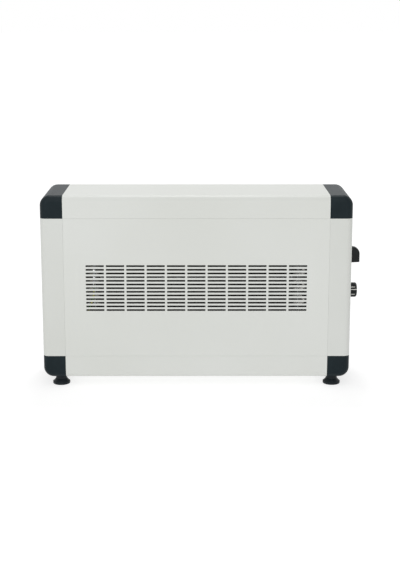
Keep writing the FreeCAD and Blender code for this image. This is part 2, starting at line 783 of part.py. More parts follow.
def fan_scroll():
    """Rear guide of the blower: a level duct floor that sweeps up behind the impeller."""
    x = -PLATE_X
    centre_y, centre_z = ROTOR_Y - SCROLL_FORWARD, ROTOR_Z - SCROLL_DROP
    start_y = FRONT + SHEET + DUCT_SETBACK
    outer_radius = SCROLL_RADIUS + DUCT_SHEET

    def on_arc(radius, degrees):
        angle = math.radians(degrees)
        return V(x, centre_y + radius * math.cos(angle), centre_z + radius * math.sin(angle))

    half_way = (SCROLL_END_ANGLE - 90) / 2
    inside = [on_arc(SCROLL_RADIUS, angle) for angle in (-90, half_way, SCROLL_END_ANGLE)]
    outside = [on_arc(outer_radius, angle) for angle in (-90, half_way, SCROLL_END_ANGLE)]
    inner_start = V(x, start_y, inside[0].z)
    outer_start = V(x, start_y, outside[0].z)
    wire = Part.Wire([
        Part.LineSegment(inner_start, inside[0]).toShape(),
        Part.Arc(*inside).toShape(),
        Part.LineSegment(inside[2], outside[2]).toShape(),
        Part.Arc(*reversed(outside)).toShape(),
        Part.LineSegment(outside[0], outer_start).toShape(),
        Part.LineSegment(outer_start, inner_start).toShape(),
    ])
    return prism([wire], V(2 * PLATE_X, 0, 0))


def fan_tongue():
    """Duct roof that slopes back to a lip just clear of the impeller."""
    x = -PLATE_X
    start_y = FRONT + SHEET + DUCT_SETBACK
    bend_y = start_y + TONGUE_RUN
    clear = ROTOR_RADIUS + DISC_RIM + TONGUE_GAP
    back_y = ROTOR_Y - math.sqrt(clear ** 2 - TONGUE_RISE ** 2)
    tip_y, tip_z = back_y - DUCT_SHEET, ROTOR_Z + TONGUE_RISE
    roof = DUCT_HIGH
    rise = DUCT_SHEET * math.hypot(1, (roof - tip_z) / (tip_y - bend_y))
    corners = [
        (V(x, start_y, roof), 0),
        (V(x, bend_y, roof), 0),
        (V(x, tip_y, tip_z), 0),
        (V(x, back_y, tip_z), 0),
        (V(x, back_y, tip_z + TONGUE_LIP), 0),
        (V(x, tip_y, tip_z + TONGUE_LIP), 0),
        (V(x, tip_y, tip_z + rise), 0),
        (V(x, bend_y, roof + DUCT_SHEET), 0),
        (V(x, start_y, roof + DUCT_SHEET), 0),
    ]
    return prism([outline(corners)], V(2 * PLATE_X, 0, 0))


def motor_stack():
    """Laminated core: a bored pole block and a leg for the coil behind it."""
    low, high = ROTOR_Z - STACK_HALF_HEIGHT, ROTOR_Z + STACK_HALF_HEIGHT
    front, rear = ROTOR_Y - STACK_FRONT, ROTOR_Y + STACK_FRONT
    leg, back = rear + STACK_WINDOW, rear + STACK_WINDOW + STACK_LEG
    x = STACK_X
    core = [
        (V(x, front, low), STACK_NOSE_ROUNDING),
        (V(x, back, low), STACK_BACK_ROUNDING),
        (V(x, back, high), STACK_BACK_ROUNDING),
        (V(x, front, high), STACK_NOSE_ROUNDING),
    ]
    window = [
        (V(x, rear, low + STACK_YOKE), STACK_WINDOW_ROUNDING),
        (V(x, leg, low + STACK_YOKE), STACK_WINDOW_ROUNDING),
        (V(x, leg, high - STACK_YOKE), STACK_WINDOW_ROUNDING),
        (V(x, rear, high - STACK_YOKE), STACK_WINDOW_ROUNDING),
    ]
    normal = V(1, 0, 0)
    wires = [outline(core), outline(window)]
    wires.append(circle(MOTOR_ROTOR_RADIUS + MOTOR_AIR_GAP, rotor_point(x, 0, 0), normal))
    for height in motor_screw_heights():
        wires.append(circle(SCREW_RADIUS + HOLE_PLAY, V(x, ROTOR_Y, height), normal))
    return prism(wires, V(STACK_LENGTH, 0, 0))


def motor_coil():
    """Wound bobbin on the leg of the core."""
    leg = ROTOR_Y + STACK_FRONT + STACK_WINDOW
    reach = COIL_THICKNESS
    height = STACK_HALF_HEIGHT - STACK_YOKE - COIL_END_GAP
    z = (ROTOR_Z - height, ROTOR_Z + height)
    outside = block((STACK_X - reach, STACK_END + reach), (leg - reach, leg + STACK_LEG + reach), z)
    upright = [edge for edge in outside.Edges if abs(edge.Length - 2 * height) < SAME_PLACE]
    outside = outside.makeFillet(COIL_THICKNESS / 2, upright)
    hole = block(
        (STACK_X - COIL_PLAY, STACK_END + COIL_PLAY),
        (leg - COIL_PLAY, leg + STACK_LEG + COIL_PLAY),
        z,
    )
    return outside.cut(hole)


def motor_rotor():
    """Squirrel-cage rotor on the motor's shaft."""
    ends = (rotor_point(STACK_X, 0, 0), rotor_point(STACK_END, 0, 0))
    return tube(MOTOR_ROTOR_RADIUS, SHAFT_RADIUS + PRESS_FIT, *ends)


def motor_bracket(face, outward):
    """Cast strap across one face of the core, with a boss for a bearing."""
    far = face + outward * BRACKET_THICKNESS
    half_height = MOTOR_SCREW_OFFSET + STACK_YOKE / 2
    strap = [
        (V(face, ROTOR_Y - BRACKET_HALF_WIDTH, ROTOR_Z - half_height), BRACKET_ROUNDING),
        (V(face, ROTOR_Y + BRACKET_HALF_WIDTH, ROTOR_Z - half_height), BRACKET_ROUNDING),
        (V(face, ROTOR_Y + BRACKET_HALF_WIDTH, ROTOR_Z + half_height), BRACKET_ROUNDING),
        (V(face, ROTOR_Y - BRACKET_HALF_WIDTH, ROTOR_Z + half_height), BRACKET_ROUNDING),
    ]
    normal = V(1, 0, 0)
    holes = [
        circle(SCREW_RADIUS + HOLE_PLAY, V(face, ROTOR_Y, height), normal)
        for height in motor_screw_heights()
    ]
    shape = prism([outline(strap)] + holes, V(far - face, 0, 0))
    boss_end = rotor_point(far + outward * BRACKET_BOSS, 0, 0)
    shape = shape.fuse(rod(BRACKET_HALF_WIDTH, rotor_point(face, 0, 0), boss_end))
    return shape.cut(rod(BUSH_RADIUS + PRESS_FIT, rotor_point(face, 0, 0), boss_end))


def motor_bearings():
    """Sintered bushes in the two brackets."""
    length = BRACKET_THICKNESS + BRACKET_BOSS
    bore = SHAFT_RADIUS + RUNNING_FIT
    return Part.makeCompound([
        tube(BUSH_RADIUS, bore, rotor_point(face, 0, 0), rotor_point(face + outward * length, 0, 0))
        for face, outward in ((STACK_X, -1), (STACK_END, 1))
    ])


def motor_screws():
    """Long screws from inside the right plate through spacers, brackets and core."""
    end = STACK_END + BRACKET_THICKNESS + SCREW_HEAD
    pieces = []
    for height in motor_screw_heights():
        head = rod(SCREW_HEAD_RADIUS, V(PLATE_X - SCREW_HEAD, ROTOR_Y, height), V(PLATE_X, ROTOR_Y, height))
        shank = rod(SCREW_RADIUS, V(PLATE_X, ROTOR_Y, height), V(end, ROTOR_Y, height))
        pieces.append(head.fuse(shank))
    return Part.makeCompound(pieces)


def motor_spacers():
    """Tubes that hold the motor off the right plate."""
    end = STACK_X - BRACKET_THICKNESS
    return Part.makeCompound([
        tube(SPACER_RADIUS, SCREW_RADIUS + HOLE_PLAY, V(PLATE_OUT, ROTOR_Y, z), V(end, ROTOR_Y, z))
        for z in motor_screw_heights()
    ])


def thermal_cutout():
    """Disc thermostat on the outside of the left plate, above the elements."""
    profile = [
        (0, 0, 0),
        (CUTOUT_FLANGE_RADIUS, 0, 0),
        (CUTOUT_FLANGE_RADIUS, CUTOUT_FLANGE, 0),
        (CUTOUT_RADIUS, CUTOUT_FLANGE, 0),
        (CUTOUT_RADIUS, CUTOUT_DEPTH, CUTOUT_ROUNDING),
        (0, CUTOUT_DEPTH, 0),
    ]
    y = ELEMENT_Y + COLLAR_RADIUS + 2 * CUTOUT_FLANGE_RADIUS
    return turned(profile, V(-PLATE_OUT, y, DUCT_HIGH - CUTOUT_FLANGE_RADIUS), V(-1, 0, 0))


def control_body(height):
    """Moulded body behind the right rail, with a threaded neck through it."""
    half = CONTROL_BODY / 2
    corners = [
        (V(CONTROL_FACE, -half, height - half), CONTROL_BODY_EDGE),
        (V(CONTROL_FACE, half, height - half), CONTROL_BODY_EDGE),
        (V(CONTROL_FACE, half, height + half), CONTROL_BODY_EDGE),
        (V(CONTROL_FACE, -half, height + half), CONTROL_BODY_EDGE),
    ]
    body = prism([outline(corners)], V(-CONTROL_BODY_DEPTH, 0, 0))
    neck_end = V(HALF_WIDTH + THREAD_LENGTH, 0, height)
    body = body.fuse(rod(THREAD_RADIUS, V(CONTROL_FACE, 0, height), neck_end))
    bore_end = V(CONTROL_FACE - CONTROL_BODY_DEPTH / 2, 0, height)
    return body.cut(rod(SPINDLE_RADIUS + RUNNING_FIT, bore_end, neck_end))


def control_nut(height):
    """Hexagon nut that clamps a control to the right rail."""
    points = [
        V(HALF_WIDTH, NUT_RADIUS * math.cos(math.radians(a)), height + NUT_RADIUS * math.sin(math.radians(a)))
        for a in range(0, 360, 60)
    ]
    hexagon = Part.makePolygon(points + points[:1])
    bore = circle(THREAD_RADIUS + PRESS_FIT, V(HALF_WIDTH, 0, height), V(1, 0, 0))
    return prism([hexagon, bore], V(NUT_THICKNESS, 0, 0))


def control_spindle(height):
    """Spindle from inside a control to the bottom of its knob's bore."""
    start = CONTROL_FACE - CONTROL_BODY_DEPTH / 2
    return rod(SPINDLE_RADIUS, V(start, 0, height), V(knob_bore_end(), 0, height))


def knob_bore_end():
    """Depth to which a knob is bored for its spindle."""
    return HALF_WIDTH + KNOB_GAP + KNOB_RECESS + SPINDLE_GRIP


def tab_heights():
    """Heights of the push-on tabs: three on the selector, then two on the thermostat."""
    selector = [SELECTOR_Z + row * TAB_SPACING for row in (1, 0, -1)]
    return selector + [THERMOSTAT_Z + row * TAB_SPACING for row in (0.5, -0.5)]


def control_tabs():
    """Push-on tabs at the backs of the controls."""
    x = (TAB_END, TAB_END + TAB_LENGTH)
    y = (-TAB_WIDTH / 2, TAB_WIDTH / 2)
    half = TAB_THICKNESS / 2
    return Part.makeCompound([block(x, y, (z - half, z + half)) for z in tab_heights()])


def hollowed_knob(solid, height):
    """Cuts the recess over the nut and the bore for the spindle into a knob."""
    base = HALF_WIDTH + KNOB_GAP
    recess = rod(KNOB_RECESS_RADIUS, V(base, 0, height), V(base + KNOB_RECESS, 0, height))
    bore = rod(SPINDLE_RADIUS + PRESS_FIT, V(base, 0, height), V(knob_bore_end(), 0, height))
    return solid.cut(recess).cut(bore)


def selector_knob():
    """Bar knob on a round skirt; its pointer end is a quarter round that starts upward."""
    z = SELECTOR_Z
    base = HALF_WIDTH + KNOB_GAP
    tip = base + SELECTOR_KNOB_HEIGHT
    half = SELECTOR_BAR_WIDTH / 2
    corners = [
        (V(base, -half, z - SELECTOR_BAR_DOWN), 0),
        (V(tip, -half, z - SELECTOR_BAR_DOWN + SELECTOR_SOFTENING), SELECTOR_SOFTENING),
        (V(tip, -half, z + SELECTOR_BAR_UP), SELECTOR_NOSE_RADIUS),
        (V(base, -half, z + SELECTOR_BAR_UP), 0),
    ]
    bar = prism([outline(corners)], V(0, SELECTOR_BAR_WIDTH, 0))
    rim = [
        edge
        for edge in bar.Edges
        if abs(abs(edge.CenterOfMass.y) - half) < SAME_PLACE and edge.CenterOfMass.x > base + SAME_PLACE
    ]
    bar = bar.makeFillet(SELECTOR_SIDE_SOFTENING, rim)
    skirt_profile = [
        (0, 0, 0),
        (SELECTOR_SKIRT_RADIUS, 0, 0),
        (SELECTOR_SKIRT_RADIUS, SELECTOR_SKIRT, SELECTOR_SOFTENING),
        (0, SELECTOR_SKIRT, 0),
    ]
    skirt = turned(skirt_profile, V(base, 0, z), V(1, 0, 0))
    return hollowed_knob(skirt.fuse(bar), z)


def thermostat_knob():
    """Round fluted knob with a rounded end; at rest, one of its ridges looks forward and a little up."""
    z = THERMOSTAT_Z
    base = HALF_WIDTH + KNOB_GAP
    profile = [
        (0, 0, 0),
        (THERMOSTAT_KNOB_RADIUS, 0, 0),
        (THERMOSTAT_KNOB_RADIUS, THERMOSTAT_KNOB_HEIGHT, THERMOSTAT_KNOB_ROUNDING),
        (0, THERMOSTAT_KNOB_HEIGHT, 0),
    ]
    shape = turned(profile, V(base, 0, z), V(1, 0, 0))
    away = THERMOSTAT_KNOB_RADIUS + FLUTE_RADIUS - FLUTE_DEPTH
    pointer = math.pi - math.radians(THERMOSTAT_REST_RISE)
    flutes = []
    for number in range(FLUTES):
        angle = pointer + 2 * math.pi * (number + 0.5) / FLUTES
        y, height = away * math.cos(angle), z + away * math.sin(angle)
        flutes.append(rod(FLUTE_RADIUS, V(base, y, height), V(base + THERMOSTAT_KNOB_HEIGHT, y, height)))
    return hollowed_knob(shape.cut(Part.makeCompound(flutes)), z)


def terminal_block():
    """Three-way terminal block on the cabinet floor, with a wire hole through each way."""
    left = PLATE_X - TERMINAL_TO_PLATE - TERMINAL_LENGTH
    rear = REAR - TERMINAL_TO_REAR
    front = rear - TERMINAL_DEPTH
    shape = block((left, left + TERMINAL_LENGTH), (front, rear), (FLOOR, FLOOR + TERMINAL_HEIGHT))
    for way in terminal_ways():
        shape = shape.cut(rod(LEAD_RADIUS + HOLE_PLAY, way, V(way.x, rear, way.z)))
    return shape


def terminal_ways():
    """Mouths of the terminal block's wire holes, on its front."""
    left = PLATE_X - TERMINAL_TO_PLATE - TERMINAL_LENGTH
    front = REAR - TERMINAL_TO_REAR - TERMINAL_DEPTH
    step = TERMINAL_LENGTH / TERMINAL_WAYS
    height = FLOOR + TERMINAL_HEIGHT / 2
    return [V(left + step * (way + 0.5), front, height) for way in range(TERMINAL_WAYS)]


def lead(points):
    """Insulated wire along points, its bends as large as their runs allow."""
    edges = []
    start = points[0]
    for before, corner, after in zip(points, points[1:], points[2:]):
        incoming = (corner - before).normalize()
        outgoing = (after - corner).normalize()
        reach = LEAD_BEND_SHARE * min(corner.distanceToPoint(before), corner.distanceToPoint(after))
        half_turn = incoming.getAngle(outgoing) / 2
        radius = reach / math.tan(half_turn)
        inward = (outgoing - incoming).normalize()
        middle = corner + inward * (radius / math.cos(half_turn) - radius)
        first, last = corner - incoming * reach, corner + outgoing * reach
        edges.append(Part.LineSegment(start, first).toShape())
        edges.append(Part.Arc(first, middle, last).toShape())
        start = last
    edges.append(Part.LineSegment(start, points[-1]).toShape())
    section = circle(LEAD_RADIUS, points[0], points[1] - points[0])
    return Part.Wire(edges).makePipeShell([section], True, False)


def earth_place():
    """Middle of the earth eyelet on the outside of the left plate."""
    return V(-PLATE_OUT, PLATE_FRONT + EARTH_TO_EDGE, MIDDLE)


def earth_stud_place():
    """Middle of the earth eyelet on the cabinet floor."""
    return V(-(PLATE_OUT + PLATE_FLANGE + EARTH_STUD_X), EARTH_STUD_Y, FLOOR)


def earth_fixings():
    """Screw of the upper earth eyelet, and the welded stud and nut of the lower one."""
    nut_low = EYELET_THICKNESS
    nut_high = nut_low + SCREW_HEAD
    stud = [
        (0, 0, 0),
        (SCREW_RADIUS, 0, 0),
        (SCREW_RADIUS, nut_low, 0),
        (SCREW_HEAD_RADIUS, nut_low, 0),
        (SCREW_HEAD_RADIUS, nut_high, 0),
        (SCREW_RADIUS, nut_high, 0),
        (SCREW_RADIUS, nut_high + SCREW_HEAD, 0),
        (0, nut_high + SCREW_HEAD, 0),
    ]
    head = earth_place() - V(EYELET_THICKNESS, 0, 0)
    return Part.makeCompound([screw(head, V(-1, 0, 0)), turned(stud, earth_stud_place(), V(0, 0, 1))])


def earth_lead():
    """Lead with an eyelet at each end, which bonds the left plate to the cabinet."""
    upper, lower = earth_place(), earth_stud_place()
    hole = SCREW_RADIUS + HOLE_PLAY
    upper_ring = tube(EYELET_RADIUS, hole, upper, upper - V(EYELET_THICKNESS, 0, 0))
    lower_ring = tube(EYELET_RADIUS, hole, lower, lower + V(0, 0, EYELET_THICKNESS))
    off = LEAD_RADIUS + LEAD_LIFT
    grip = EYELET_RADIUS - EYELET_OVERLAP
    wire = lead([
        upper + V(-off, 0, -grip),
        upper + V(-off - 1, -2, -22),
        upper + V(-off - 10, -5, -44),
        upper + V(-off - 22, 3, -76),
        upper + V(-off - 30, 10, -112),
        lower + V(-1, -grip - 32, 34),
        lower + V(0, -grip - 28, off),
        lower + V(0, -grip, off),
    ])
    return wire.multiFuse([upper_ring, lower_ring])


def heater_leads():
    """Two leads from the outer element pins, round the rear of the floor, to the selector."""
    heights = (element_heights()[-1], element_heights()[0])
    leads = []
    for number, (start_z, end_z) in enumerate(zip(heights, tab_heights())):
        aside = number * LEAD_SPACING
        run_y = PLATE_REAR + 3 + aside
        run_z = FLOOR + LEAD_RADIUS + LEAD_LIFT
        leads.append(lead([
            V(PIN_END, ELEMENT_Y, start_z),
            V(PIN_END - 14 + aside, ELEMENT_Y, start_z),
            V(PIN_END - 19 + aside, ELEMENT_Y + 22, start_z - 36),
            V(PIN_END - 19 + aside, ROTOR_Y - 2, FLOOR + 62),
            V(PIN_END - 17 + aside, PLATE_REAR - 10 + aside, FLOOR + 18),
            V(PIN_END - 5, run_y, run_z),
            V(TAB_END - 46, run_y, run_z),
            V(TAB_END - 29, PLATE_REAR - 13 + aside, FLOOR + 22),
            V(TAB_END - 19, ROTOR_Y + 5 + aside, FLOOR + 102),
            V(TAB_END - 15, 2 + aside, end_z - 24),
            V(TAB_END - 11, 0, end_z),
            V(TAB_END, 0, end_z),
        ]))
    return Part.makeCompound(leads)


def motor_lead():
    """Lead from the motor's coil to the thermostat."""
    height = tab_heights()[3]
    coil_y = ROTOR_Y + STACK_FRONT + STACK_WINDOW + STACK_LEG / 2
    return lead([
        V(STACK_END + COIL_THICKNESS, coil_y, ROTOR_Z),
        V(TAB_END - 20, coil_y, ROTOR_Z),
        V(TAB_END - 13, coil_y - 26, ROTOR_Z - 7),
        V(TAB_END - 11, 0, height),
        V(TAB_END, 0, height),
    ])


def supply_leads():
    """Leads from the terminal block, through the right plate's window, to the two controls."""
    leads = []
    for way, height, aside in zip(terminal_ways()[1:], tab_heights()[2::2], (0, -LEAD_SPACING)):
        leads.append(lead([
            way,
            V(way.x, way.y - 17, way.z),
            V(PLATE_X - 8, aside - 4, FLOOR + 30),
            V(PLATE_OUT + 28, aside - 4, FLOOR + 46),
            V(TAB_END - 22, aside - 8, FLOOR + 86),
            V(TAB_END - 14, aside - 8, height - 22),
            V(TAB_END - 10, 0, height),
            V(TAB_END, 0, height),
        ]))
    return Part.makeCompound(leads)


def export(nodes):
    """Writes each node to a file of its own name."""
    os.makedirs("parts", exist_ok=True)
    for name, shape in nodes.items():
        shape.exportStep("parts/" + name + ".step")


corner = upper_corner()
low_corner = lower_corner(corner)
nodes = {
    "top_rail": top_rail(),
    "bottom_rail": bottom_rail(),
    "left_rail": mirrored_left(side_rail()),
    "right_rail": right_rail(),
    "front_panel": front_panel(),
    "rear_panel": rear_panel(),
    "rear_panel_screws": Part.makeCompound([screw(place, V(0, 1, 0)) for place in panel_screw_places()]),
    "corner_top_left": mirrored_left(corner),
    "corner_top_right": corner,
    "corner_bottom_left": mirrored_left(low_corner),
    "corner_bottom_right": low_corner,
    "foot_inserts": foot_inserts(),
    "cord_gland": cord_gland(),
    "support_plate_left": support_plate_left(),
    "support_plate_right": support_plate_right(),
    "chassis_screws": Part.makeCompound([screw(place, V(0, 0, -1)) for place in chassis_screw_places()]),
    "heating_element_lower": heating_element(0),
    "heating_element_middle": heating_element(1),
    "heating_element_upper": heating_element(2),
    "element_collars": element_collars(),
    "element_beads": element_beads(),
    "element_pins": element_pins(),
    "fan_impeller": fan_impeller(),
    "stub_shaft": stub_shaft(),
    "motor_shaft": motor_shaft(),
    "motor_rotor": motor_rotor(),
    "bearing_bush": bearing_bush(),
    "bearing_grommet": bearing_grommet(),
    "fan_scroll": fan_scroll(),
    "fan_tongue": fan_tongue(),
    "motor_stack": motor_stack(),
    "motor_coil": motor_coil(),
    "motor_bracket_inner": motor_bracket(STACK_X, -1),
    "motor_bracket_outer": motor_bracket(STACK_END, 1),
    "motor_bearings": motor_bearings(),
    "motor_screws": motor_screws(),
    "motor_spacers": motor_spacers(),
    "thermal_cutout": thermal_cutout(),
    "selector_switch": control_body(SELECTOR_Z),
    "selector_spindle": control_spindle(SELECTOR_Z),
    "selector_knob": selector_knob(),
    "thermostat_body": control_body(THERMOSTAT_Z),
    "thermostat_spindle": control_spindle(THERMOSTAT_Z),
    "thermostat_knob": thermostat_knob(),
    "control_nuts": Part.makeCompound([control_nut(SELECTOR_Z), control_nut(THERMOSTAT_Z)]),
    "control_tabs": control_tabs(),
    "terminal_block": terminal_block(),
    "earth_fixings": earth_fixings(),
    "earth_lead": earth_lead(),
    "heater_leads": heater_leads(),
    "motor_lead": motor_lead(),
    "supply_leads": supply_leads(),
}
for side, side_name in ((-1, "left"), (1, "right")):
    for end, end_name in ((-1, "front"), (1, "rear")):
        nodes[f"foot_{end_name}_{side_name}"] = foot(side * FOOT_X, end * FOOT_Y)
        nodes[f"stud_{end_name}_{side_name}"] = foot_stud(side * FOOT_X, end * FOOT_Y)
export(nodes)
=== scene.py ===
import math
import bmesh
import bpy
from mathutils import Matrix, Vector


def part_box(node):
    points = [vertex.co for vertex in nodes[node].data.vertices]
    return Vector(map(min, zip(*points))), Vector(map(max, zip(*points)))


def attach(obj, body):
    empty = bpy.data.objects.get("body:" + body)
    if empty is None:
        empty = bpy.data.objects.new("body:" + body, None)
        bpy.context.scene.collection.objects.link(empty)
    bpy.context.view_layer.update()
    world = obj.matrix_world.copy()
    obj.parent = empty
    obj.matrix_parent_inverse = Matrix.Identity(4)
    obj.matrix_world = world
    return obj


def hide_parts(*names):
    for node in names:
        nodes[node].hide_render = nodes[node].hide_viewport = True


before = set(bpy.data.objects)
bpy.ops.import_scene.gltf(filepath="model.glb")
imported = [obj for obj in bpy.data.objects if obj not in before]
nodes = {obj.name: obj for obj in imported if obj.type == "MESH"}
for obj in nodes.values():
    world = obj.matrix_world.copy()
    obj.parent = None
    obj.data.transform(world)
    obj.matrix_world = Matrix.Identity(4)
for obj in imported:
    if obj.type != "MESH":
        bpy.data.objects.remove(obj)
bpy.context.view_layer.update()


# Rails
# Four folded channels of thin steel sheet make the edges of the cabinet. Each is bent on a press brake,
# powder coated off-white in a fine satin, and pushed onto the tongues of the corner mouldings.
def srgb(red, green, blue):
    """Colour for a shader socket, from red, green and blue up to 255, by the standard screen curve."""
    shares = [value / 255 for value in (red, green, blue)]
    curve = [s / 12.92 if s <= 0.04045 else ((s + 0.055) / 1.055) ** 2.4 for s in shares]
    return (*curve, 1.0)


PAINT_SHADE = srgb(214, 216, 211)
PAINT_LIGHT = srgb(218, 220, 216)
# The side rails take the panel paint a few levels darker. This is painted shade, for the dimmer light on
# their fronts.
SIDE_PAINTED_SHADE_DARK = srgb(210, 212, 207)
SIDE_PAINTED_SHADE_LIGHT = srgb(214, 216, 212)
PAINT_GLOSS = 0.3
PAINT_DRIFT = 4
PAINT_HAZE = 350
PAINT_DULL = (0.34, 0.46)
WAVE_GRAIN = 9
WAVE_HEIGHT = 0.0006
PEEL_GRAIN = 1400
PEEL_HEIGHT = 0.00003


def new_finish(name, metallic=0.0, specular=0.5):
    """Starts a material: returns it with its nodes, its shader and the piece's own coordinates."""
    material = bpy.data.materials.new(name)
    material.use_nodes = True
    tree = material.node_tree
    shader = tree.nodes["Principled BSDF"]
    shader.inputs["Metallic"].default_value = metallic
    shader.inputs["Specular IOR Level"].default_value = specular
    place = tree.nodes.new("ShaderNodeTexCoord").outputs["Object"]
    return material, tree, shader, place


def grain(tree, place, scale, detail=2.0, distortion=0.0):
    """Noise with about this many grains to the metre."""
    noise = tree.nodes.new("ShaderNodeTexNoise")
    noise.inputs["Scale"].default_value = scale
    noise.inputs["Detail"].default_value = detail
    noise.inputs["Distortion"].default_value = distortion
    tree.links.new(place, noise.inputs["Vector"])
    return noise.outputs["Fac"]


def shades(tree, shader, amount, dark, light, low=0.3, high=0.7):
    """Colours the shader between two shades as amount goes from low to high."""
    ramp = tree.nodes.new("ShaderNodeValToRGB")
    ramp.color_ramp.elements[0].position = low
    ramp.color_ramp.elements[0].color = dark
    ramp.color_ramp.elements[1].position = high
    ramp.color_ramp.elements[1].color = light
    tree.links.new(amount, ramp.inputs["Fac"])
    tree.links.new(ramp.outputs["Color"], shader.inputs["Base Color"])


def dullness(tree, shader, amount, low, high):
    """Varies the roughness between two values."""
    spread = tree.nodes.new("ShaderNodeMapRange")
    spread.inputs["To Min"].default_value = low
    spread.inputs["To Max"].default_value = high
    tree.links.new(amount, spread.inputs["Value"])
    tree.links.new(spread.outputs["Result"], shader.inputs["Roughness"])


def relief(tree, shader, height, distance):
    """Raises the surface by a height, on top of any relief that it already has."""
    bump = tree.nodes.new("ShaderNodeBump")
    bump.inputs["Distance"].default_value = distance
    before = shader.inputs["Normal"].links
    if before:
        tree.links.new(before[0].from_socket, bump.inputs["Normal"])
    tree.links.new(height, bump.inputs["Height"])
    tree.links.new(bump.outputs["Normal"], shader.inputs["Normal"])


def coat(material, *names):
    """Gives carried-over nodes a finish."""
    for name in names:
        nodes[name].material_slots[0].material = material


def powder_coat(name, shade, light):
    """Baked powder paint: a slow drift of shade, a fine peel, and the long waves of thin sheet."""
    material, tree, shader, place = new_finish(name, specular=PAINT_GLOSS)
    shades(tree, shader, grain(tree, place, PAINT_DRIFT), shade, light)
    dullness(tree, shader, grain(tree, place, PAINT_HAZE), *PAINT_DULL)
    relief(tree, shader, grain(tree, place, WAVE_GRAIN, detail=0.0), WAVE_HEIGHT)
    relief(tree, shader, grain(tree, place, PEEL_GRAIN), PEEL_HEIGHT)
    return material


panel_paint = powder_coat("panel_paint", PAINT_SHADE, PAINT_LIGHT)
coat(panel_paint, "top_rail", "bottom_rail")
# The side rails wear the darker copy of the paint, which is painted shade.
coat(powder_coat("side_rail_painted_shade", SIDE_PAINTED_SHADE_DARK, SIDE_PAINTED_SHADE_LIGHT), "left_rail", "right_rail")


# Front and rear panels
# Flat steel sheets close the cabinet between the rails and lie flush on the rails' stepped lips. Their
# slots are punched in rows. The powder coat softens every cut edge and narrows the seam round each sheet.
SLOT_LENGTH = 0.035
SLOT_HEIGHT = 0.0035
SLOT_BRIDGE = 0.0042
SLOT_BAR = 0.00375
SLOT_STEP_X = SLOT_LENGTH + SLOT_BRIDGE
SLOT_STEP_Z = SLOT_HEIGHT + SLOT_BAR
SLOT_COLUMNS = 11
SLOT_ROWS = 13
SLOT_EDGE = 0.0002
SLOT_EDGE_ANGLE = math.radians(60)
PANEL_SHEET = 0.0012
PANEL_RIM = 0.00015
RIM_STEPS = 3
SEAM_FILL = 0.00036
SCREW_HOLE = 0.0021
HEAD_RADIUS = 0.0036
GLAND_HOLE = 0.0082
HOLE_SIDES = 32
DRILL_LENGTH = 0.024
REARWARD = (0, 1, 0)
QUARTER_TURN = math.pi / 2
NEAR = 1e-5


def work_on(piece):
    """Makes one piece the only selected object, and the active one."""
    bpy.ops.object.select_all(action="DESELECT")
    piece.select_set(True)
    bpy.context.view_layer.objects.active = piece


def fix_in_place(piece):
    """Puts a piece's place, turn and size into its mesh."""
    work_on(piece)
    bpy.ops.object.transform_apply(location=True, rotation=True, scale=True)


def flat_sheet(width, height, spot, turn):
    """A flat rectangle with its middle on spot, turned from lying on the floor."""
    bpy.ops.object.select_all(action="DESELECT")
    bpy.ops.mesh.primitive_plane_add(size=1, location=spot, rotation=turn)
    piece = bpy.context.object
    piece.scale = (width, height, 1)
    fix_in_place(piece)
    return piece


def pick_edges(piece, wanted):
    """Selects, in edit mode, the edges for which wanted holds."""
    bpy.ops.mesh.select_mode(type="EDGE")
    bpy.ops.mesh.select_all(action="DESELECT")
    mesh = bmesh.from_edit_mesh(piece.data)
    for edge in mesh.edges:
        if wanted(edge):
            edge.select_set(True)
    bmesh.update_edit_mesh(piece.data)


def outermost(piece, axis, end):
    """The furthest place of a piece along an axis, towards its low or high end."""
    places = [vertex.co[axis] for vertex in bmesh.from_edit_mesh(piece.data).verts]
    return min(places) if end < 0 else max(places)


def apply_modifier(piece, kind, **settings):
    """Adds a modifier with these settings and applies it."""
    work_on(piece)
    modifier = piece.modifiers.new(kind.lower(), kind)
    for name, value in settings.items():
        setattr(modifier, name, value)
    bpy.ops.object.modifier_apply(modifier=modifier.name)


def cut_away(piece, cutter):
    """Takes a cutter's shape out of a piece."""
    apply_modifier(piece, "BOOLEAN", operation="DIFFERENCE", object=cutter, solver="EXACT")
    bpy.data.objects.remove(cutter)


def turn_to(outward):
    """The turn that brings the Z axis to a direction."""
    return Vector((0, 0, 1)).rotation_difference(Vector(outward)).to_euler()


def slot_cell(middle, outward):
    """One cell of the grille: a sheet that faces outward, with a slot cut out of its middle."""
    piece = flat_sheet(SLOT_STEP_X, SLOT_STEP_Z, middle, (-outward * QUARTER_TURN, 0, 0))
    bpy.ops.object.mode_set(mode="EDIT")
    bpy.ops.mesh.select_all(action="SELECT")
    bpy.ops.mesh.inset(thickness=SLOT_BAR / 2)
    widening = SLOT_LENGTH / (SLOT_STEP_X - SLOT_BAR)
    bpy.ops.transform.resize(value=(widening, 1, 1), center_override=middle)
    bpy.ops.mesh.delete(type="FACE")
    bpy.ops.object.mode_set(mode="OBJECT")
    return piece


def repeat_cells(piece):
    """Repeats a cell in columns and rows, joined at their edges."""
    for offset, count in (((SLOT_STEP_X, 0, 0), SLOT_COLUMNS), ((0, 0, SLOT_STEP_Z), SLOT_ROWS)):
        apply_modifier(
            piece, "ARRAY", count=count, use_relative_offset=False, use_constant_offset=True,
            constant_offset_displace=offset, use_merge_vertices=True, merge_threshold=NEAR,
        )


def draw_out(piece, borders):
    """Draws the grille's outer edges out to the borders of its panel."""
    bpy.ops.object.mode_set(mode="EDIT")
    for axis, end, border in borders:
        edge_place = outermost(piece, axis, end)
        pick_edges(piece, lambda edge: all(abs(v.co[axis] - edge_place) < NEAR for v in edge.verts))
        shift = [0, 0, 0]
        shift[axis] = border - edge_place
        bpy.ops.mesh.extrude_region_move(TRANSFORM_OT_translate={"value": shift})
    bpy.ops.object.mode_set(mode="OBJECT")


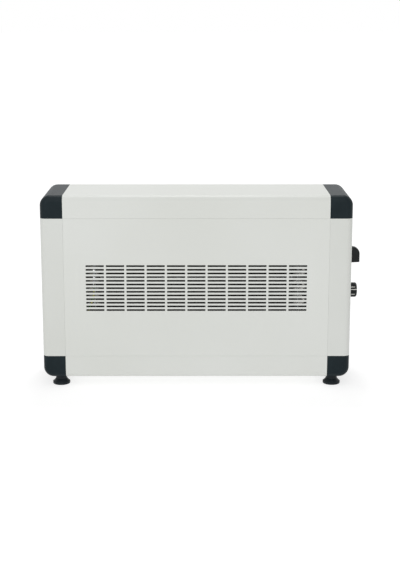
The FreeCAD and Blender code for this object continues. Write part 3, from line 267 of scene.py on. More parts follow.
def round_rim(piece, borders, face):
    """Rounds the outer edge of a panel's face."""

    def on_rim(edge):
        points = [vertex.co for vertex in edge.verts]
        if any(abs(point.y - face) > NEAR for point in points):
            return False
        return any(
            all(abs(point[axis] - border) < NEAR for point in points) for axis, end, border in borders
        )

    bpy.ops.object.mode_set(mode="EDIT")
    pick_edges(piece, on_rim)
    bpy.ops.mesh.bevel(offset=PANEL_RIM, segments=RIM_STEPS)
    bpy.ops.object.mode_set(mode="OBJECT")


def slotted_panel(name, node, outward):
    """One panel: a cell with a slot, repeated, then drawn out to the panel's border and thickened."""
    low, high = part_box(node)
    face = high.y if outward > 0 else low.y
    low -= Vector((SEAM_FILL, 0, SEAM_FILL))
    high += Vector((SEAM_FILL, 0, SEAM_FILL))
    borders = ((0, -1, low.x), (0, 1, high.x), (2, -1, low.z), (2, 1, high.z))
    first_x = -(SLOT_COLUMNS - 1) / 2 * SLOT_STEP_X
    first_z = (low.z + high.z) / 2 - (SLOT_ROWS - 1) / 2 * SLOT_STEP_Z
    piece = slot_cell(Vector((first_x, face, first_z)), outward)
    piece.name = name
    repeat_cells(piece)
    draw_out(piece, borders)
    apply_modifier(piece, "SOLIDIFY", thickness=PANEL_SHEET, offset=-1)
    round_rim(piece, borders, face)
    apply_modifier(
        piece, "BEVEL", width=SLOT_EDGE, segments=1, limit_method="ANGLE", angle_limit=SLOT_EDGE_ANGLE
    )
    piece.data.materials.append(panel_paint)
    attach(piece, "cabinet")
    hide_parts(node)
    return piece


def drill(piece, spot, radius):
    """Cuts one round hole through the rear panel."""
    bpy.ops.mesh.primitive_cylinder_add(
        vertices=HOLE_SIDES, radius=radius, depth=DRILL_LENGTH, location=spot, rotation=turn_to(REARWARD)
    )
    cut_away(piece, bpy.context.object)


slotted_panel("front_grille", "front_panel", -1)
rear_grille = slotted_panel("rear_grille", "rear_panel", 1)

rear_low, rear_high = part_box("rear_panel_screws")
rear_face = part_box("rear_panel")[1].y
rear_screw_places = [
    Vector((x, rear_face, z))
    for z in (rear_low.z + HEAD_RADIUS, rear_high.z - HEAD_RADIUS)
    for x in (rear_low.x + HEAD_RADIUS, 0, rear_high.x - HEAD_RADIUS)
]
for spot in rear_screw_places:
    drill(rear_grille, spot, SCREW_HOLE)
gland_low, gland_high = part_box("cord_gland")
gland_middle = (gland_low + gland_high) / 2
drill(rear_grille, Vector((gland_middle.x, rear_face, gland_middle.z)), GLAND_HOLE)


# Corner mouldings
# Hollow corners of tough dark grey plastic join the rails. They are injection moulded in a spark-eroded
# mould, which leaves a fine matt grain, and hold by friction on their tongues.
def mottle(finish, dark, light, clouds, haze, dull, texture, height,
           swirl=0.0, cloud_detail=4.0, texture_detail=2.0):
    """Completes a finish: clouds of two shades, a haze of duller patches and a fine raised texture."""
    material, tree, shader, place = finish
    shades(tree, shader, grain(tree, place, clouds, cloud_detail, swirl), dark, light)
    dullness(tree, shader, grain(tree, place, haze), *dull)
    relief(tree, shader, grain(tree, place, texture, texture_detail), height)
    return material


corner_plastic = mottle(
    new_finish("corner_plastic", specular=0.13), dark=srgb(18, 29, 33), light=srgb(25, 36, 40), clouds=30,
    haze=300, dull=(0.36, 0.5), texture=1800, texture_detail=3.0, height=0.00006,
)
coat(corner_plastic, "corner_top_left", "corner_top_right", "corner_bottom_left", "corner_bottom_right")


# Levelling feet
# Each foot is a round pad of hard black plastic moulded on the end of a steel stud. The stud screws into a
# brass insert that is pressed into the corner above it.
THREAD_RADIUS = 0.004
THREAD_DEPTH = 0.0006
THREAD_PITCH = 0.00125
THREAD_STEPS = 20
ANY_SIDES = 0

foot_plastic = mottle(
    new_finish("foot_plastic", specular=0.2), dark=srgb(14, 22, 26), light=srgb(22, 31, 35), clouds=60,
    haze=300, dull=(0.38, 0.55), texture=1500, texture_detail=3.0, height=0.00004,
)
zinc_plate = mottle(
    new_finish("zinc_plate", metallic=1.0), dark=srgb(168, 172, 176), light=srgb(206, 209, 211),
    clouds=120, cloud_detail=5.0, swirl=0.6, haze=700, dull=(0.26, 0.44),
    texture=900, texture_detail=3.0, height=0.00002,
)
brass = mottle(
    new_finish("brass", metallic=1.0), dark=srgb(164, 128, 68), light=srgb(208, 174, 104),
    clouds=400, swirl=0.4, haze=900, dull=(0.24, 0.42), texture=1600, height=0.00002,
)
coat(brass, "foot_inserts")


def face_outward(piece):
    """Turns all faces of a piece outward."""
    work_on(piece)
    bpy.ops.object.mode_set(mode="EDIT")
    bpy.ops.mesh.select_all(action="SELECT")
    bpy.ops.mesh.normals_make_consistent(inside=False)
    bpy.ops.object.mode_set(mode="OBJECT")


def copy_at(pattern, spot, turn=(0, 0, 0)):
    """A copy of a pattern piece, with a mesh of its own, put at a place and turned."""
    work_on(pattern)
    bpy.ops.object.duplicate()
    piece = bpy.context.object
    piece.location = spot
    piece.rotation_euler = turn
    fix_in_place(piece)
    return piece


def threaded_stud(low_z, high_z):
    """A stud on the Z axis: a tooth profile screwed up its whole length."""
    turns = int((high_z - low_z) / THREAD_PITCH) - 1
    tooth_x = THREAD_RADIUS - THREAD_DEPTH / 2
    tooth_place = (tooth_x, 0, low_z + THREAD_PITCH / 2)
    piece = flat_sheet(THREAD_DEPTH, THREAD_PITCH, tooth_place, (QUARTER_TURN, 0, 0))
    bpy.ops.object.mode_set(mode="EDIT")
    pick_edges(piece, lambda edge: all(v.co.x > tooth_x for v in edge.verts))
    bpy.ops.mesh.merge(type="CENTER")
    pick_edges(piece, lambda edge: all(v.co.x < tooth_x for v in edge.verts))
    bpy.ops.mesh.delete(type="EDGE_FACE")
    bpy.ops.object.mode_set(mode="OBJECT")
    apply_modifier(
        piece, "SCREW", axis="Z", screw_offset=THREAD_PITCH, iterations=turns,
        steps=THREAD_STEPS, render_steps=THREAD_STEPS, use_merge_vertices=True, merge_threshold=NEAR,
    )
    bpy.ops.object.mode_set(mode="EDIT")
    bpy.ops.mesh.select_all(action="SELECT")
    bpy.ops.mesh.remove_doubles(threshold=NEAR)
    bpy.ops.mesh.select_all(action="SELECT")
    bpy.ops.mesh.fill_holes(sides=ANY_SIDES)
    bpy.ops.object.mode_set(mode="OBJECT")
    face_outward(piece)
    return piece


low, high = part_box("stud_front_left")
stud_pattern = threaded_stud(low.z, high.z)
for corner in ("front_left", "front_right", "rear_left", "rear_right"):
    coat(foot_plastic, "foot_" + corner)
    low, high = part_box("stud_" + corner)
    piece = copy_at(stud_pattern, ((low.x + high.x) / 2, (low.y + high.y) / 2, 0))
    piece.name = "thread_" + corner
    piece.data.materials.append(zinc_plate)
    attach(piece, "foot_" + corner)
    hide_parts("stud_" + corner)
bpy.data.objects.remove(stud_pattern)


# Support plates and air guides
# Two bent plates of galvanised sheet stand on the cabinet floor and carry the heater and the blower. The
# scroll and the tongue between them are rolled and folded from the same sheet.
SPANGLE = 45
SPANGLE_DARK = srgb(122, 126, 128)
SPANGLE_LIGHT = srgb(158, 161, 163)

galvanised, tree, shader, place = new_finish("galvanised", metallic=1.0)
cells = tree.nodes.new("ShaderNodeTexVoronoi")
cells.inputs["Scale"].default_value = SPANGLE
tree.links.new(place, cells.inputs["Vector"])
shades(tree, shader, cells.outputs["Color"], SPANGLE_DARK, SPANGLE_LIGHT, low=0.1, high=0.9)
dullness(tree, shader, cells.outputs["Color"], low=0.3, high=0.5)
relief(tree, shader, grain(tree, place, scale=250, detail=3.0), distance=0.00004)
coat(galvanised, "support_plate_left", "support_plate_right", "fan_scroll", "fan_tongue")


# Heating elements
# Three steel-sheathed hairpins cross the outlet, dark where they get hot and pale at their ends and bends.
# A steel strip is wound on edge round each run, as a fin. Ceramic beads close the sheaths round the pins.
FIN_PITCH = 0.0032
FIN_RADIUS = 0.0054
FIN_STRIP = 0.0005
STRIP_SIDES = 4
FIN_STEPS = 14
FIN_TO_PLATE = 0.006
SHEATH_RADIUS = 0.00325
PALE_END = srgb(232, 230, 224)
PALE_METALLIC = 0.2
COLD_BLEND = 0.008

plate_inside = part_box("support_plate_right")[0].x


def past_plates(tree, place, inside, outside):
    """A value that changes where a run passes out through the plates."""
    apart = tree.nodes.new("ShaderNodeSeparateXYZ")
    tree.links.new(place, apart.inputs[0])
    reach = tree.nodes.new("ShaderNodeMath")
    reach.operation = "ABSOLUTE"
    tree.links.new(apart.outputs["X"], reach.inputs[0])
    share = tree.nodes.new("ShaderNodeMapRange")
    share.inputs["From Min"].default_value = plate_inside - COLD_BLEND
    share.inputs["From Max"].default_value = plate_inside
    share.inputs["To Min"].default_value = inside
    share.inputs["To Max"].default_value = outside
    tree.links.new(reach.outputs["Value"], share.inputs["Value"])
    return share.outputs["Result"]


sheath_finish = new_finish("heat_dark_steel", metallic=1.0)
heat_dark_steel = mottle(
    sheath_finish, dark=srgb(34, 32, 29), light=srgb(54, 51, 47), clouds=35, swirl=1.2,
    haze=500, dull=(0.34, 0.58), texture=1200, texture_detail=3.0, height=0.00003,
)
tree, shader, place = sheath_finish[1:]
pale_ends = tree.nodes.new("ShaderNodeMix")
pale_ends.data_type = "RGBA"
pale_ends.inputs["B"].default_value = PALE_END
tree.links.new(past_plates(tree, place, inside=0.0, outside=1.0), pale_ends.inputs["Factor"])
tree.links.new(shader.inputs["Base Color"].links[0].from_socket, pale_ends.inputs["A"])
tree.links.new(pale_ends.outputs["Result"], shader.inputs["Base Color"])
tree.links.new(past_plates(tree, place, inside=1.0, outside=PALE_METALLIC), shader.inputs["Metallic"])

fin_steel = mottle(
    new_finish("fin_steel", metallic=1.0), dark=srgb(38, 36, 32), light=srgb(60, 57, 51),
    clouds=50, swirl=0.8, haze=500, dull=(0.28, 0.46), texture=1500, height=0.00002,
)
bead_ceramic = mottle(
    new_finish("bead_ceramic"), dark=srgb(214, 208, 192), light=srgb(236, 232, 220),
    clouds=900, cloud_detail=5.0, haze=1200, dull=(0.6, 0.8), texture=2500, height=0.00003,
)
coat(bead_ceramic, "element_beads")
coat(zinc_plate, "element_collars", "element_pins")


def wound_fin(start, end):
    """A strip wound on edge round the X axis, from start to end."""
    turns = int((end - start) / FIN_PITCH)
    strip_place = (start, 0, (FIN_RADIUS + SHEATH_RADIUS) / 2)
    piece = flat_sheet(FIN_STRIP, FIN_RADIUS - SHEATH_RADIUS, strip_place, (QUARTER_TURN, 0, 0))
    bpy.ops.object.mode_set(mode="EDIT")
    bpy.ops.mesh.select_all(action="SELECT")
    bpy.ops.mesh.delete(type="ONLY_FACE")
    bpy.ops.object.mode_set(mode="OBJECT")
    apply_modifier(
        piece, "SCREW", axis="X", screw_offset=FIN_PITCH, iterations=turns,
        steps=FIN_STEPS, render_steps=FIN_STEPS,
    )
    bpy.ops.object.mode_set(mode="EDIT")
    bpy.ops.mesh.select_all(action="SELECT")
    bpy.ops.mesh.fill_holes(sides=STRIP_SIDES)
    bpy.ops.object.mode_set(mode="OBJECT")
    face_outward(piece)
    return piece


def joined(pieces, name):
    """Joins pieces into one and names it."""
    work_on(pieces[0])
    for piece in pieces[1:]:
        piece.select_set(True)
    if len(pieces) > 1:
        bpy.ops.object.join()
    pieces[0].name = name
    return pieces[0]


fin_end = plate_inside - FIN_TO_PLATE
fin_pattern = wound_fin(-fin_end, fin_end)
for level in ("lower", "middle", "upper"):
    node = "heating_element_" + level
    coat(heat_dark_steel, node)
    low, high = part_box(node)
    run_y = (low.y + high.y) / 2
    runs = [Vector((0, run_y, z)) for z in (low.z + SHEATH_RADIUS, high.z - SHEATH_RADIUS)]
    fins = joined([copy_at(fin_pattern, run) for run in runs], "fins_" + level)
    fins.data.materials.append(fin_steel)
    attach(fins, "cabinet")
bpy.data.objects.remove(fin_pattern)


# Blower
# A cross-flow impeller of thin aluminium blades, staked into discs, draws air in through the rear panel.
# Its stub shaft runs in a sintered bush that a rubber ring holds in the left plate.
DRAWN_LINES = (6, 300, 300)
GRINDING_RINGS = (1500, 40, 40)


def stretched(finish, along):
    """A finish with its coordinates scaled along each axis, so that its grain runs one way."""
    material, tree, shader, place = finish
    mapping = tree.nodes.new("ShaderNodeMapping")
    mapping.inputs["Scale"].default_value = along
    tree.links.new(place, mapping.inputs["Vector"])
    return material, tree, shader, mapping.outputs["Vector"]


aluminium = mottle(
    stretched(new_finish("aluminium", metallic=1.0), DRAWN_LINES), dark=srgb(176, 179, 182),
    light=srgb(216, 218, 220), clouds=5, haze=8, dull=(0.28, 0.46), texture=6, height=0.00003,
)
coat(aluminium, "fan_impeller", "motor_rotor", "motor_bracket_inner", "motor_bracket_outer")

ground_steel = mottle(
    stretched(new_finish("ground_steel", metallic=1.0), GRINDING_RINGS), dark=srgb(150, 153, 156),
    light=srgb(190, 193, 196), clouds=1, cloud_detail=2.0, haze=1.5, dull=(0.18, 0.34),
    texture=1.2, height=0.00001,
)
coat(ground_steel, "stub_shaft", "motor_shaft", "selector_spindle", "thermostat_spindle")
coat(brass, "bearing_bush", "motor_bearings")

rubber = mottle(
    new_finish("rubber", specular=0.3), dark=srgb(26, 26, 27), light=srgb(44, 44, 45), clouds=200,
    haze=600, dull=(0.7, 0.9), texture=1800, height=0.00004,
)
coat(rubber, "bearing_grommet")


# Motor
# The shaded-pole motor hangs on two long screws outside the right plate. Its core is a stack of stamped
# sheets, the coil is wound on a bobbin and wrapped in tape, and cast brackets hold the bearings.
LAMINATIONS = 2000
CORE_DARK = srgb(78, 76, 76)
CORE_LIGHT = srgb(126, 126, 128)
TAPE_DARK = srgb(186, 152, 76)
TAPE_LIGHT = srgb(222, 194, 122)


def bands(tree, place, direction, scale, distortion):
    """Even bands that follow each other in one direction."""
    wave = tree.nodes.new("ShaderNodeTexWave")
    wave.bands_direction = direction
    wave.inputs["Scale"].default_value = scale
    wave.inputs["Distortion"].default_value = distortion
    tree.links.new(place, wave.inputs["Vector"])
    return wave.outputs["Fac"]


core_steel, tree, shader, place = new_finish("core_steel", metallic=0.9)
sheets = bands(tree, place, "X", scale=LAMINATIONS / (2 * math.pi), distortion=0.4)
shades(tree, shader, grain(tree, place, scale=140, detail=5.0), CORE_DARK, CORE_LIGHT)
dullness(tree, shader, grain(tree, place, scale=400), low=0.36, high=0.6)
relief(tree, shader, sheets, distance=0.00008)
coat(core_steel, "motor_stack")

coil_tape, tree, shader, place = new_finish("coil_tape")
wraps = bands(tree, place, "Z", scale=40, distortion=1.5)
shades(tree, shader, wraps, TAPE_DARK, TAPE_LIGHT, low=0.0, high=1.0)
dullness(tree, shader, grain(tree, place, scale=300), low=0.35, high=0.55)
relief(tree, shader, wraps, distance=0.0001)
coat(coil_tape, "motor_coil")
coat(zinc_plate, "motor_screws", "motor_spacers")


# Controls
# A rotary selector and a thermostat sit behind the right rail, each held by a nut on its neck.
# Their bodies are black moulded plastic with brass push-on tabs, and their knobs press onto the spindles.
LINE_WIDTH = 0.0014
LINE_PROUD = 0.0001
LINE_SUNK = 0.0003
BEND_STEPS = 8
ROUND_RADIUS = 0.0146
ROUND_EDGE = 0.004
ROUND_RISE = 13
ROUND_LINE_START = 0.0008
ROUND_LINE_IN = 0.0065
# The dashes round the thermostat knob are painted highlights, white strips standing in for glints on its
# flutes.
PAINTED_GLINT_FIRST = -20
PAINTED_GLINT_STEP = 60
PAINTED_GLINTS = 6
PAINTED_GLINT_START = 0.007
PAINTED_GLINT_LENGTH = 0.008
BAR_UP = 0.0165
NOSE_RADIUS = 0.014
NOSE_LINE_START = 0.003
NOSE_LINE_DOWN = 0.006

control_plastic = mottle(
    new_finish("control_plastic"), dark=srgb(24, 24, 25), light=srgb(36, 36, 37), clouds=80,
    haze=500, dull=(0.4, 0.58), texture=1500, height=0.00003,
)
coat(control_plastic, "selector_switch", "thermostat_body", "thermal_cutout")
coat(zinc_plate, "control_nuts")
coat(brass, "control_tabs")

knob_plastic = mottle(
    new_finish("knob_plastic", specular=0.22), dark=srgb(9, 15, 17), light=srgb(17, 23, 25), clouds=50,
    haze=600, dull=(0.26, 0.4), texture=1600, texture_detail=3.0, height=0.00003,
)
coat(knob_plastic, "selector_knob", "thermostat_knob")

# This white paint makes the pointer lines, and the painted highlights round the thermostat knob.
pointer_and_glint_paint = mottle(
    new_finish("pointer_and_glint_paint"), dark=srgb(214, 214, 208), light=srgb(236, 236, 232), clouds=900,
    haze=1200, dull=(0.4, 0.6), texture=2000, height=0.00002,
)


def paint_strip(start, end, spot, turn):
    """A flat strip of paint from start to end along X, facing up before it is turned about X."""
    return flat_sheet(end - start, LINE_WIDTH, ((start + end) / 2, *spot), (turn, 0, 0))


def over_the_edge(piece, centre, axis, onward):
    """Turns the far end of a strip a quarter round an edge, then draws it on over the end face."""
    bpy.ops.object.mode_set(mode="EDIT")
    far = outermost(piece, 0, 1)
    pick_edges(piece, lambda edge: all(v.co.x > far - NEAR for v in edge.verts))
    bpy.ops.mesh.spin(steps=BEND_STEPS, angle=-QUARTER_TURN, center=centre, axis=axis)
    bpy.ops.mesh.extrude_region_move(TRANSFORM_OT_translate={"value": onward})
    bpy.ops.mesh.select_all(action="SELECT")
    bpy.ops.mesh.remove_doubles(threshold=NEAR)
    bpy.ops.object.mode_set(mode="OBJECT")
    face_outward(piece)


def finish_marks(pieces, name, body):
    """Joins strips into one piece of a certain thickness that rides on its knob."""
    marks = joined(pieces, name)
    apply_modifier(marks, "SOLIDIFY", thickness=LINE_PROUD + LINE_SUNK, offset=0)
    face_outward(marks)
    marks.data.materials.append(pointer_and_glint_paint)
    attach(marks, body)


# The round knob's pointer line and one dash are made about its axis. The dashes are painted highlights:
# white strips where the knob's flutes catch the light. Copies are then turned to their places round it.
low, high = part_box("thermostat_knob")
knob_z = (low.z + high.z) / 2
line_depth = (LINE_PROUD - LINE_SUNK) / 2
front_place = (-ROUND_RADIUS - line_depth, 0)
line = paint_strip(low.x + ROUND_LINE_START, high.x - ROUND_EDGE, front_place, QUARTER_TURN)
over_the_edge(line, (high.x - ROUND_EDGE, ROUND_EDGE - ROUND_RADIUS, 0), (0, 0, 1), (0, ROUND_LINE_IN, 0))
# The dash is a painted highlight, standing in for a glint on a flute.
flute_glint = paint_strip(low.x + PAINTED_GLINT_START, low.x + PAINTED_GLINT_START + PAINTED_GLINT_LENGTH, front_place, QUARTER_TURN)
turned_pointer_and_glints = [(line, 0)] + [(flute_glint, PAINTED_GLINT_FIRST + number * PAINTED_GLINT_STEP) for number in range(PAINTED_GLINTS)]
round_pointer_and_glints = [
    copy_at(mark, (0, 0, knob_z), (math.radians(turn - ROUND_RISE), 0, 0)) for mark, turn in turned_pointer_and_glints
]
bpy.data.objects.remove(line)
bpy.data.objects.remove(flute_glint)
finish_marks(round_pointer_and_glints, "thermostat_pointer_and_glints", "thermostat")

low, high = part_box("selector_spindle")
selector_z = (low.z + high.z) / 2
bend_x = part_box("selector_knob")[1].x - NOSE_RADIUS
line = paint_strip(bend_x - NOSE_LINE_START, bend_x, (0, selector_z + BAR_UP + line_depth), 0)
over_the_edge(line, (bend_x, 0, selector_z + BAR_UP - NOSE_RADIUS), (0, 1, 0), (0, 0, -NOSE_LINE_DOWN))
finish_marks([line], "selector_line", "selector")


# Cord gland, terminal block and leads
# A black plastic gland snaps into the rear panel. Inside, a nylon terminal block and insulated leads join
# the controls, the motor and the elements, and a green and yellow lead bonds the plate to the cabinet.
INSULATION_HAZE = 600
INSULATION_DULL = (0.36, 0.5)
INSULATION_TEXTURE = 1200
INSULATION_HEIGHT = 0.00003
EARTH_GREEN = srgb(70, 128, 52)
EARTH_YELLOW = srgb(206, 198, 66)

gland_plastic = mottle(
    new_finish("gland_plastic"), dark=srgb(30, 32, 34), light=srgb(42, 44, 46), clouds=90,
    haze=500, dull=(0.38, 0.54), texture=1500, height=0.00003,
)
coat(gland_plastic, "cord_gland")

terminal_nylon = mottle(
    new_finish("terminal_nylon"), dark=srgb(218, 214, 202), light=srgb(234, 231, 222), clouds=120,
    haze=500, dull=(0.4, 0.55), texture=1400, height=0.00003,
)
coat(terminal_nylon, "terminal_block")


def insulate(node, name, dark, light):
    """Gives leads a smooth insulation of one colour, slightly uneven."""
    insulation = mottle(
        new_finish(name), dark, light, clouds=150, haze=INSULATION_HAZE, dull=INSULATION_DULL,
        texture=INSULATION_TEXTURE, height=INSULATION_HEIGHT,
    )
    coat(insulation, node)


insulate("heater_leads", "white_insulation", dark=srgb(196, 192, 184), light=srgb(220, 217, 210))
insulate("motor_lead", "blue_insulation", dark=srgb(44, 78, 128), light=srgb(58, 96, 150))
insulate("supply_leads", "brown_insulation", dark=srgb(92, 60, 40), light=srgb(116, 78, 54))

earth_stripes, tree, shader, place = new_finish("earth_stripes")
stripes = bands(tree, place, "DIAGONAL", scale=26, distortion=0.6)
shades(tree, shader, stripes, EARTH_GREEN, EARTH_YELLOW, low=0.46, high=0.54)
dullness(tree, shader, grain(tree, place, INSULATION_HAZE), *INSULATION_DULL)
relief(tree, shader, grain(tree, place, INSULATION_TEXTURE), INSULATION_HEIGHT)
coat(earth_stripes, "earth_lead")
coat(zinc_plate, "earth_fixings")


# Screws
# Plated steel screws with domed heads and cross recesses hold the rear panel and the support plates. They
# are cold headed, and cut their own thread in the sheet.
HEAD_HEIGHT = 0.0022
HEAD_WALL = 0.0005
DOME_STEPS = 6
SHANK_RADIUS = 0.0019
SHANK_LENGTH = 0.009
SCREW_SIDES = 28
RECESS_WIDTH = 0.0009
RECESS_SPAN = 0.0042
RECESS_DEPTH = 0.0013
SMOOTH_ANGLE = math.radians(35)
DOWNWARD = (0, 0, -1)


def cross_recess(piece):
    """Cuts the two crossing grooves of the recess into a screw's head."""
    for spans in ((RECESS_SPAN, RECESS_WIDTH), (RECESS_WIDTH, RECESS_SPAN)):
        bpy.ops.mesh.primitive_cube_add(size=1, location=(0, 0, HEAD_HEIGHT))
        cutter = bpy.context.object
        cutter.scale = (*spans, 2 * RECESS_DEPTH)
        fix_in_place(cutter)
        cut_away(piece, cutter)


def domed_screw():
    """A screw along Z with its head on the origin, drawn up ring by ring from the tip of its shank."""
    bpy.ops.object.select_all(action="DESELECT")
    bpy.ops.mesh.primitive_circle_add(vertices=SCREW_SIDES, radius=SHANK_RADIUS, fill_type="NGON")
    piece = bpy.context.object
    bpy.ops.object.mode_set(mode="EDIT")
    bpy.ops.mesh.select_all(action="SELECT")
    bpy.ops.transform.translate(value=(0, 0, -SHANK_LENGTH))
    dome = HEAD_HEIGHT - HEAD_WALL
    rings = [(SHANK_RADIUS, 0), (HEAD_RADIUS, 0)]
    for step in range(DOME_STEPS):
        angle = QUARTER_TURN * step / DOME_STEPS
        rings.append((HEAD_RADIUS * math.cos(angle), HEAD_WALL + dome * math.sin(angle)))
    radius, height = SHANK_RADIUS, -SHANK_LENGTH
    for next_radius, next_height in rings:
        bpy.ops.mesh.extrude_region_move(TRANSFORM_OT_translate={"value": (0, 0, next_height - height)})
        spread = next_radius / radius
        bpy.ops.transform.resize(value=(spread, spread, 1), center_override=(0, 0, next_height))
        radius, height = next_radius, next_height
    bpy.ops.mesh.select_all(action="SELECT")
    bpy.ops.mesh.remove_doubles(threshold=NEAR)
    bpy.ops.object.mode_set(mode="OBJECT")
    face_outward(piece)
    cross_recess(piece)
    work_on(piece)
    bpy.ops.object.shade_smooth_by_angle(angle=SMOOTH_ANGLE)
    return piece


def screw_group(name, node, places, outward):
    """All screws of one node, as one piece."""
    screws = joined([copy_at(screw_pattern, spot, turn_to(outward)) for spot in places], name)
    screws.data.materials.append(zinc_plate)
    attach(screws, "cabinet")
    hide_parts(node)


low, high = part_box("chassis_screws")
floor_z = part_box("bottom_rail")[0].z
floor_screw_places = [
    Vector((x, y, floor_z))
    for x in (low.x + HEAD_RADIUS, high.x - HEAD_RADIUS)
    for y in (low.y + HEAD_RADIUS, high.y - HEAD_RADIUS)
]
screw_pattern = domed_screw()
screw_group("panel_screws", "rear_panel_screws", rear_screw_places, REARWARD)
screw_group("floor_screws", "chassis_screws", floor_screw_places, DOWNWARD)
bpy.data.objects.remove(screw_pattern)


# Printed dials
# The scales round the two knobs are screen printed on the right rail in dark grey ink: strokes at the
# switch positions with their numbers, and an even scale for the temperature.
INK_HEIGHT = 0.00004
STROKE_WIDTH = 0.0007
STROKE_LENGTH = 0.003
STROKE_END = STROKE_WIDTH / 2.1
STROKE_END_STEPS = 4
DIAL_GAP = 0.0025
NUMBER_SIZE = 0.0062
NUMBER_GAP = 0.0045
SELECTOR_SKIRT = 0.017
SELECTOR_STEP = 45
SELECTOR_STOPS = 4
SCALE_FIRST = 210
SCALE_STEP = 30
SCALE_STROKES = 11
STROKES_TO_NUMBER = 2

dial_ink = mottle(
    new_finish("dial_ink", specular=0.4), dark=srgb(50, 54, 56), light=srgb(64, 68, 70), clouds=1500,
    haze=900, dull=(0.4, 0.6), texture=2500, height=0.00001,
)
rail_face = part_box("right_rail")[1].x


def ink_stroke():
    """One upright stroke on the origin: a thin bar of ink with rounded ends."""
    bpy.ops.object.select_all(action="DESELECT")
    bpy.ops.mesh.primitive_cube_add(size=1)
    piece = bpy.context.object
    piece.scale = (INK_HEIGHT, STROKE_WIDTH, STROKE_LENGTH)
    fix_in_place(piece)
    bpy.ops.object.mode_set(mode="EDIT")
    pick_edges(piece, lambda edge: abs(edge.verts[0].co.x - edge.verts[1].co.x) > INK_HEIGHT / 2)
    bpy.ops.mesh.bevel(offset=STROKE_END, segments=STROKE_END_STEPS)
    bpy.ops.object.mode_set(mode="OBJECT")
    return piece


def ink_number(figure, spot):
    """One upright number on the rail, with its middle on spot."""
    bpy.ops.object.select_all(action="DESELECT")
    bpy.ops.object.text_add(location=spot, rotation=(QUARTER_TURN, 0, QUARTER_TURN))
    text = bpy.context.object.data
    text.body = figure
    text.size = NUMBER_SIZE
    text.align_x = "CENTER"
    text.align_y = "CENTER"
    text.extrude = INK_HEIGHT / 2
    bpy.ops.object.convert(target="MESH")
    piece = bpy.context.object
    fix_in_place(piece)
    return piece


def dial_place(middle_z, radius, clock):
    """Point on the rail at an angle clockwise from the top, as seen from outside."""
    angle = math.radians(clock)
    return Vector((rail_face, radius * math.sin(angle), middle_z + radius * math.cos(angle)))


def dial(name, middle_z, radius, strokes, numbers):
    """Strokes at the clock angles given, and a number beyond some of them."""
    pieces = []
    for clock in strokes:
        spot = dial_place(middle_z, radius + STROKE_LENGTH / 2, clock)
        pieces.append(copy_at(stroke_pattern, spot, (-math.radians(clock), 0, 0)))
    for figure, clock in numbers:
        spot = dial_place(middle_z, radius + STROKE_LENGTH + NUMBER_GAP, clock)
        pieces.append(ink_number(str(figure), spot))
    piece = joined(pieces, name)
    piece.data.materials.append(dial_ink)
    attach(piece, "cabinet")


stroke_pattern = ink_stroke()
stops = [SELECTOR_STEP * stop for stop in range(SELECTOR_STOPS)]
dial("selector_dial", selector_z, SELECTOR_SKIRT + DIAL_GAP, stops, enumerate(stops))
strokes = [SCALE_FIRST + SCALE_STEP * stroke for stroke in range(SCALE_STROKES)]
numbers = enumerate(strokes[::STROKES_TO_NUMBER], start=1)
dial("thermostat_dial", knob_z, ROUND_RADIUS + DIAL_GAP, strokes, numbers)
bpy.data.objects.remove(stroke_pattern)


# Studio
# The heater stands on a plain white floor that runs out to a white background. A large soft lamp stands
# above and before it, a little to the left, and a small one hangs above and behind it.
WHITE = (1.0, 1.0, 1.0, 1.0)
FLOOR_REACH = 60
FLOOR_MATT = (0.4, 0.4, 0.4, 1.0)
FLOOR_BOUNCE = 0.62
NEAR_GLOW = 0.72
FAR_GLOW = 0.85
NEAR_REACH = 0.6
FAR_REACH = 2.5
WORLD_LEVEL = 0.45
LAMP_AIM = (0, 0, 0.2)
CAMERA_PLACE = (0.0028, -2.475, 0.7374)
CAMERA_PITCH = 12.542
CAMERA_YAW = 0.0995
FOCAL_PIXELS = 1266.9
IMAGE_LONG_SIDE = 570


def shown_rays(tree):
    """One for rays from the camera, off gloss and through glass, and nothing for light on surfaces."""
    rays = tree.nodes.new("ShaderNodeLightPath")
    amount = rays.outputs["Is Camera Ray"]
    for kind in ("Is Glossy Ray", "Is Transmission Ray"):
        larger = tree.nodes.new("ShaderNodeMath")
        larger.operation = "MAXIMUM"
        tree.links.new(amount, larger.inputs[0])
        tree.links.new(rays.outputs[kind], larger.inputs[1])
        amount = larger.outputs["Value"]
    return amount


def level_by_ray(tree, other):
    """A strength for light on other surfaces that becomes one, or what is linked, for shown rays."""
    spread = tree.nodes.new("ShaderNodeMapRange")
    spread.inputs["To Min"].default_value = other
    spread.inputs["To Max"].default_value = 1.0
    tree.links.new(shown_rays(tree), spread.inputs["Value"])
    return spread


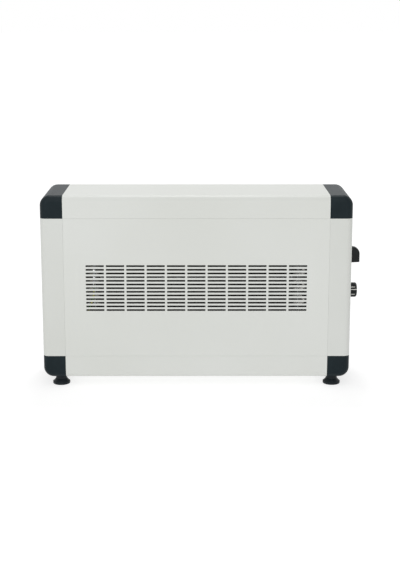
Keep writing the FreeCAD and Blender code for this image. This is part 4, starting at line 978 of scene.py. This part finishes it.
bpy.ops.object.select_all(action="DESELECT")
bpy.ops.mesh.primitive_plane_add(size=FLOOR_REACH)
floor = bpy.context.object
floor.name = "studio_floor"
floor_white = bpy.data.materials.new("floor_white")
floor_white.use_nodes = True
tree = floor_white.node_tree
tree.nodes.remove(tree.nodes["Principled BSDF"])
matt = tree.nodes.new("ShaderNodeBsdfDiffuse")
matt.inputs["Color"].default_value = FLOOR_MATT
glow = tree.nodes.new("ShaderNodeEmission")
glow.inputs["Color"].default_value = WHITE
distance = tree.nodes.new("ShaderNodeVectorMath")
distance.operation = "LENGTH"
tree.links.new(tree.nodes.new("ShaderNodeTexCoord").outputs["Object"], distance.inputs[0])
rise = tree.nodes.new("ShaderNodeMapRange")
rise.inputs["From Min"].default_value = NEAR_REACH
rise.inputs["From Max"].default_value = FAR_REACH
rise.inputs["To Min"].default_value = NEAR_GLOW
rise.inputs["To Max"].default_value = FAR_GLOW
tree.links.new(distance.outputs["Value"], rise.inputs["Value"])
level = level_by_ray(tree, FLOOR_BOUNCE)
tree.links.new(rise.outputs["Result"], level.inputs["To Max"])
tree.links.new(level.outputs["Result"], glow.inputs["Strength"])
both = tree.nodes.new("ShaderNodeAddShader")
tree.links.new(matt.outputs["BSDF"], both.inputs[0])
tree.links.new(glow.outputs["Emission"], both.inputs[1])
tree.links.new(both.outputs["Shader"], tree.nodes["Material Output"].inputs["Surface"])
floor.data.materials.append(floor_white)

world = bpy.data.worlds.new("white_room")
bpy.context.scene.world = world
world.use_nodes = True
tree = world.node_tree
background = tree.nodes["Background"]
background.inputs["Color"].default_value = WHITE
tree.links.new(level_by_ray(tree, WORLD_LEVEL).outputs["Result"], background.inputs["Strength"])


def soft_lamp(name, spot, size, power):
    """A square area lamp at spot, turned to the heater."""
    lamp = bpy.data.lights.new(name, "AREA")
    lamp.size = size
    lamp.energy = power
    holder = bpy.data.objects.new(name, lamp)
    bpy.context.scene.collection.objects.link(holder)
    holder.location = spot
    holder.rotation_euler = (Vector(LAMP_AIM) - Vector(spot)).to_track_quat("-Z", "Y").to_euler()


soft_lamp("front_lamp", spot=(-0.7, -3.4, 2.6), size=5.5, power=93)
soft_lamp("top_lamp", spot=(0, 0.9, 2.4), size=0.6, power=19)

eye = bpy.data.cameras.new("camera")
eye.lens = FOCAL_PIXELS * eye.sensor_width / IMAGE_LONG_SIDE
camera = bpy.data.objects.new("camera", eye)
bpy.context.scene.collection.objects.link(camera)
camera.location = CAMERA_PLACE
camera.rotation_euler = (math.radians(90 - CAMERA_PITCH), 0, -math.radians(CAMERA_YAW))
bpy.context.scene.camera = camera
bpy.context.scene.view_settings.view_transform = "Standard"
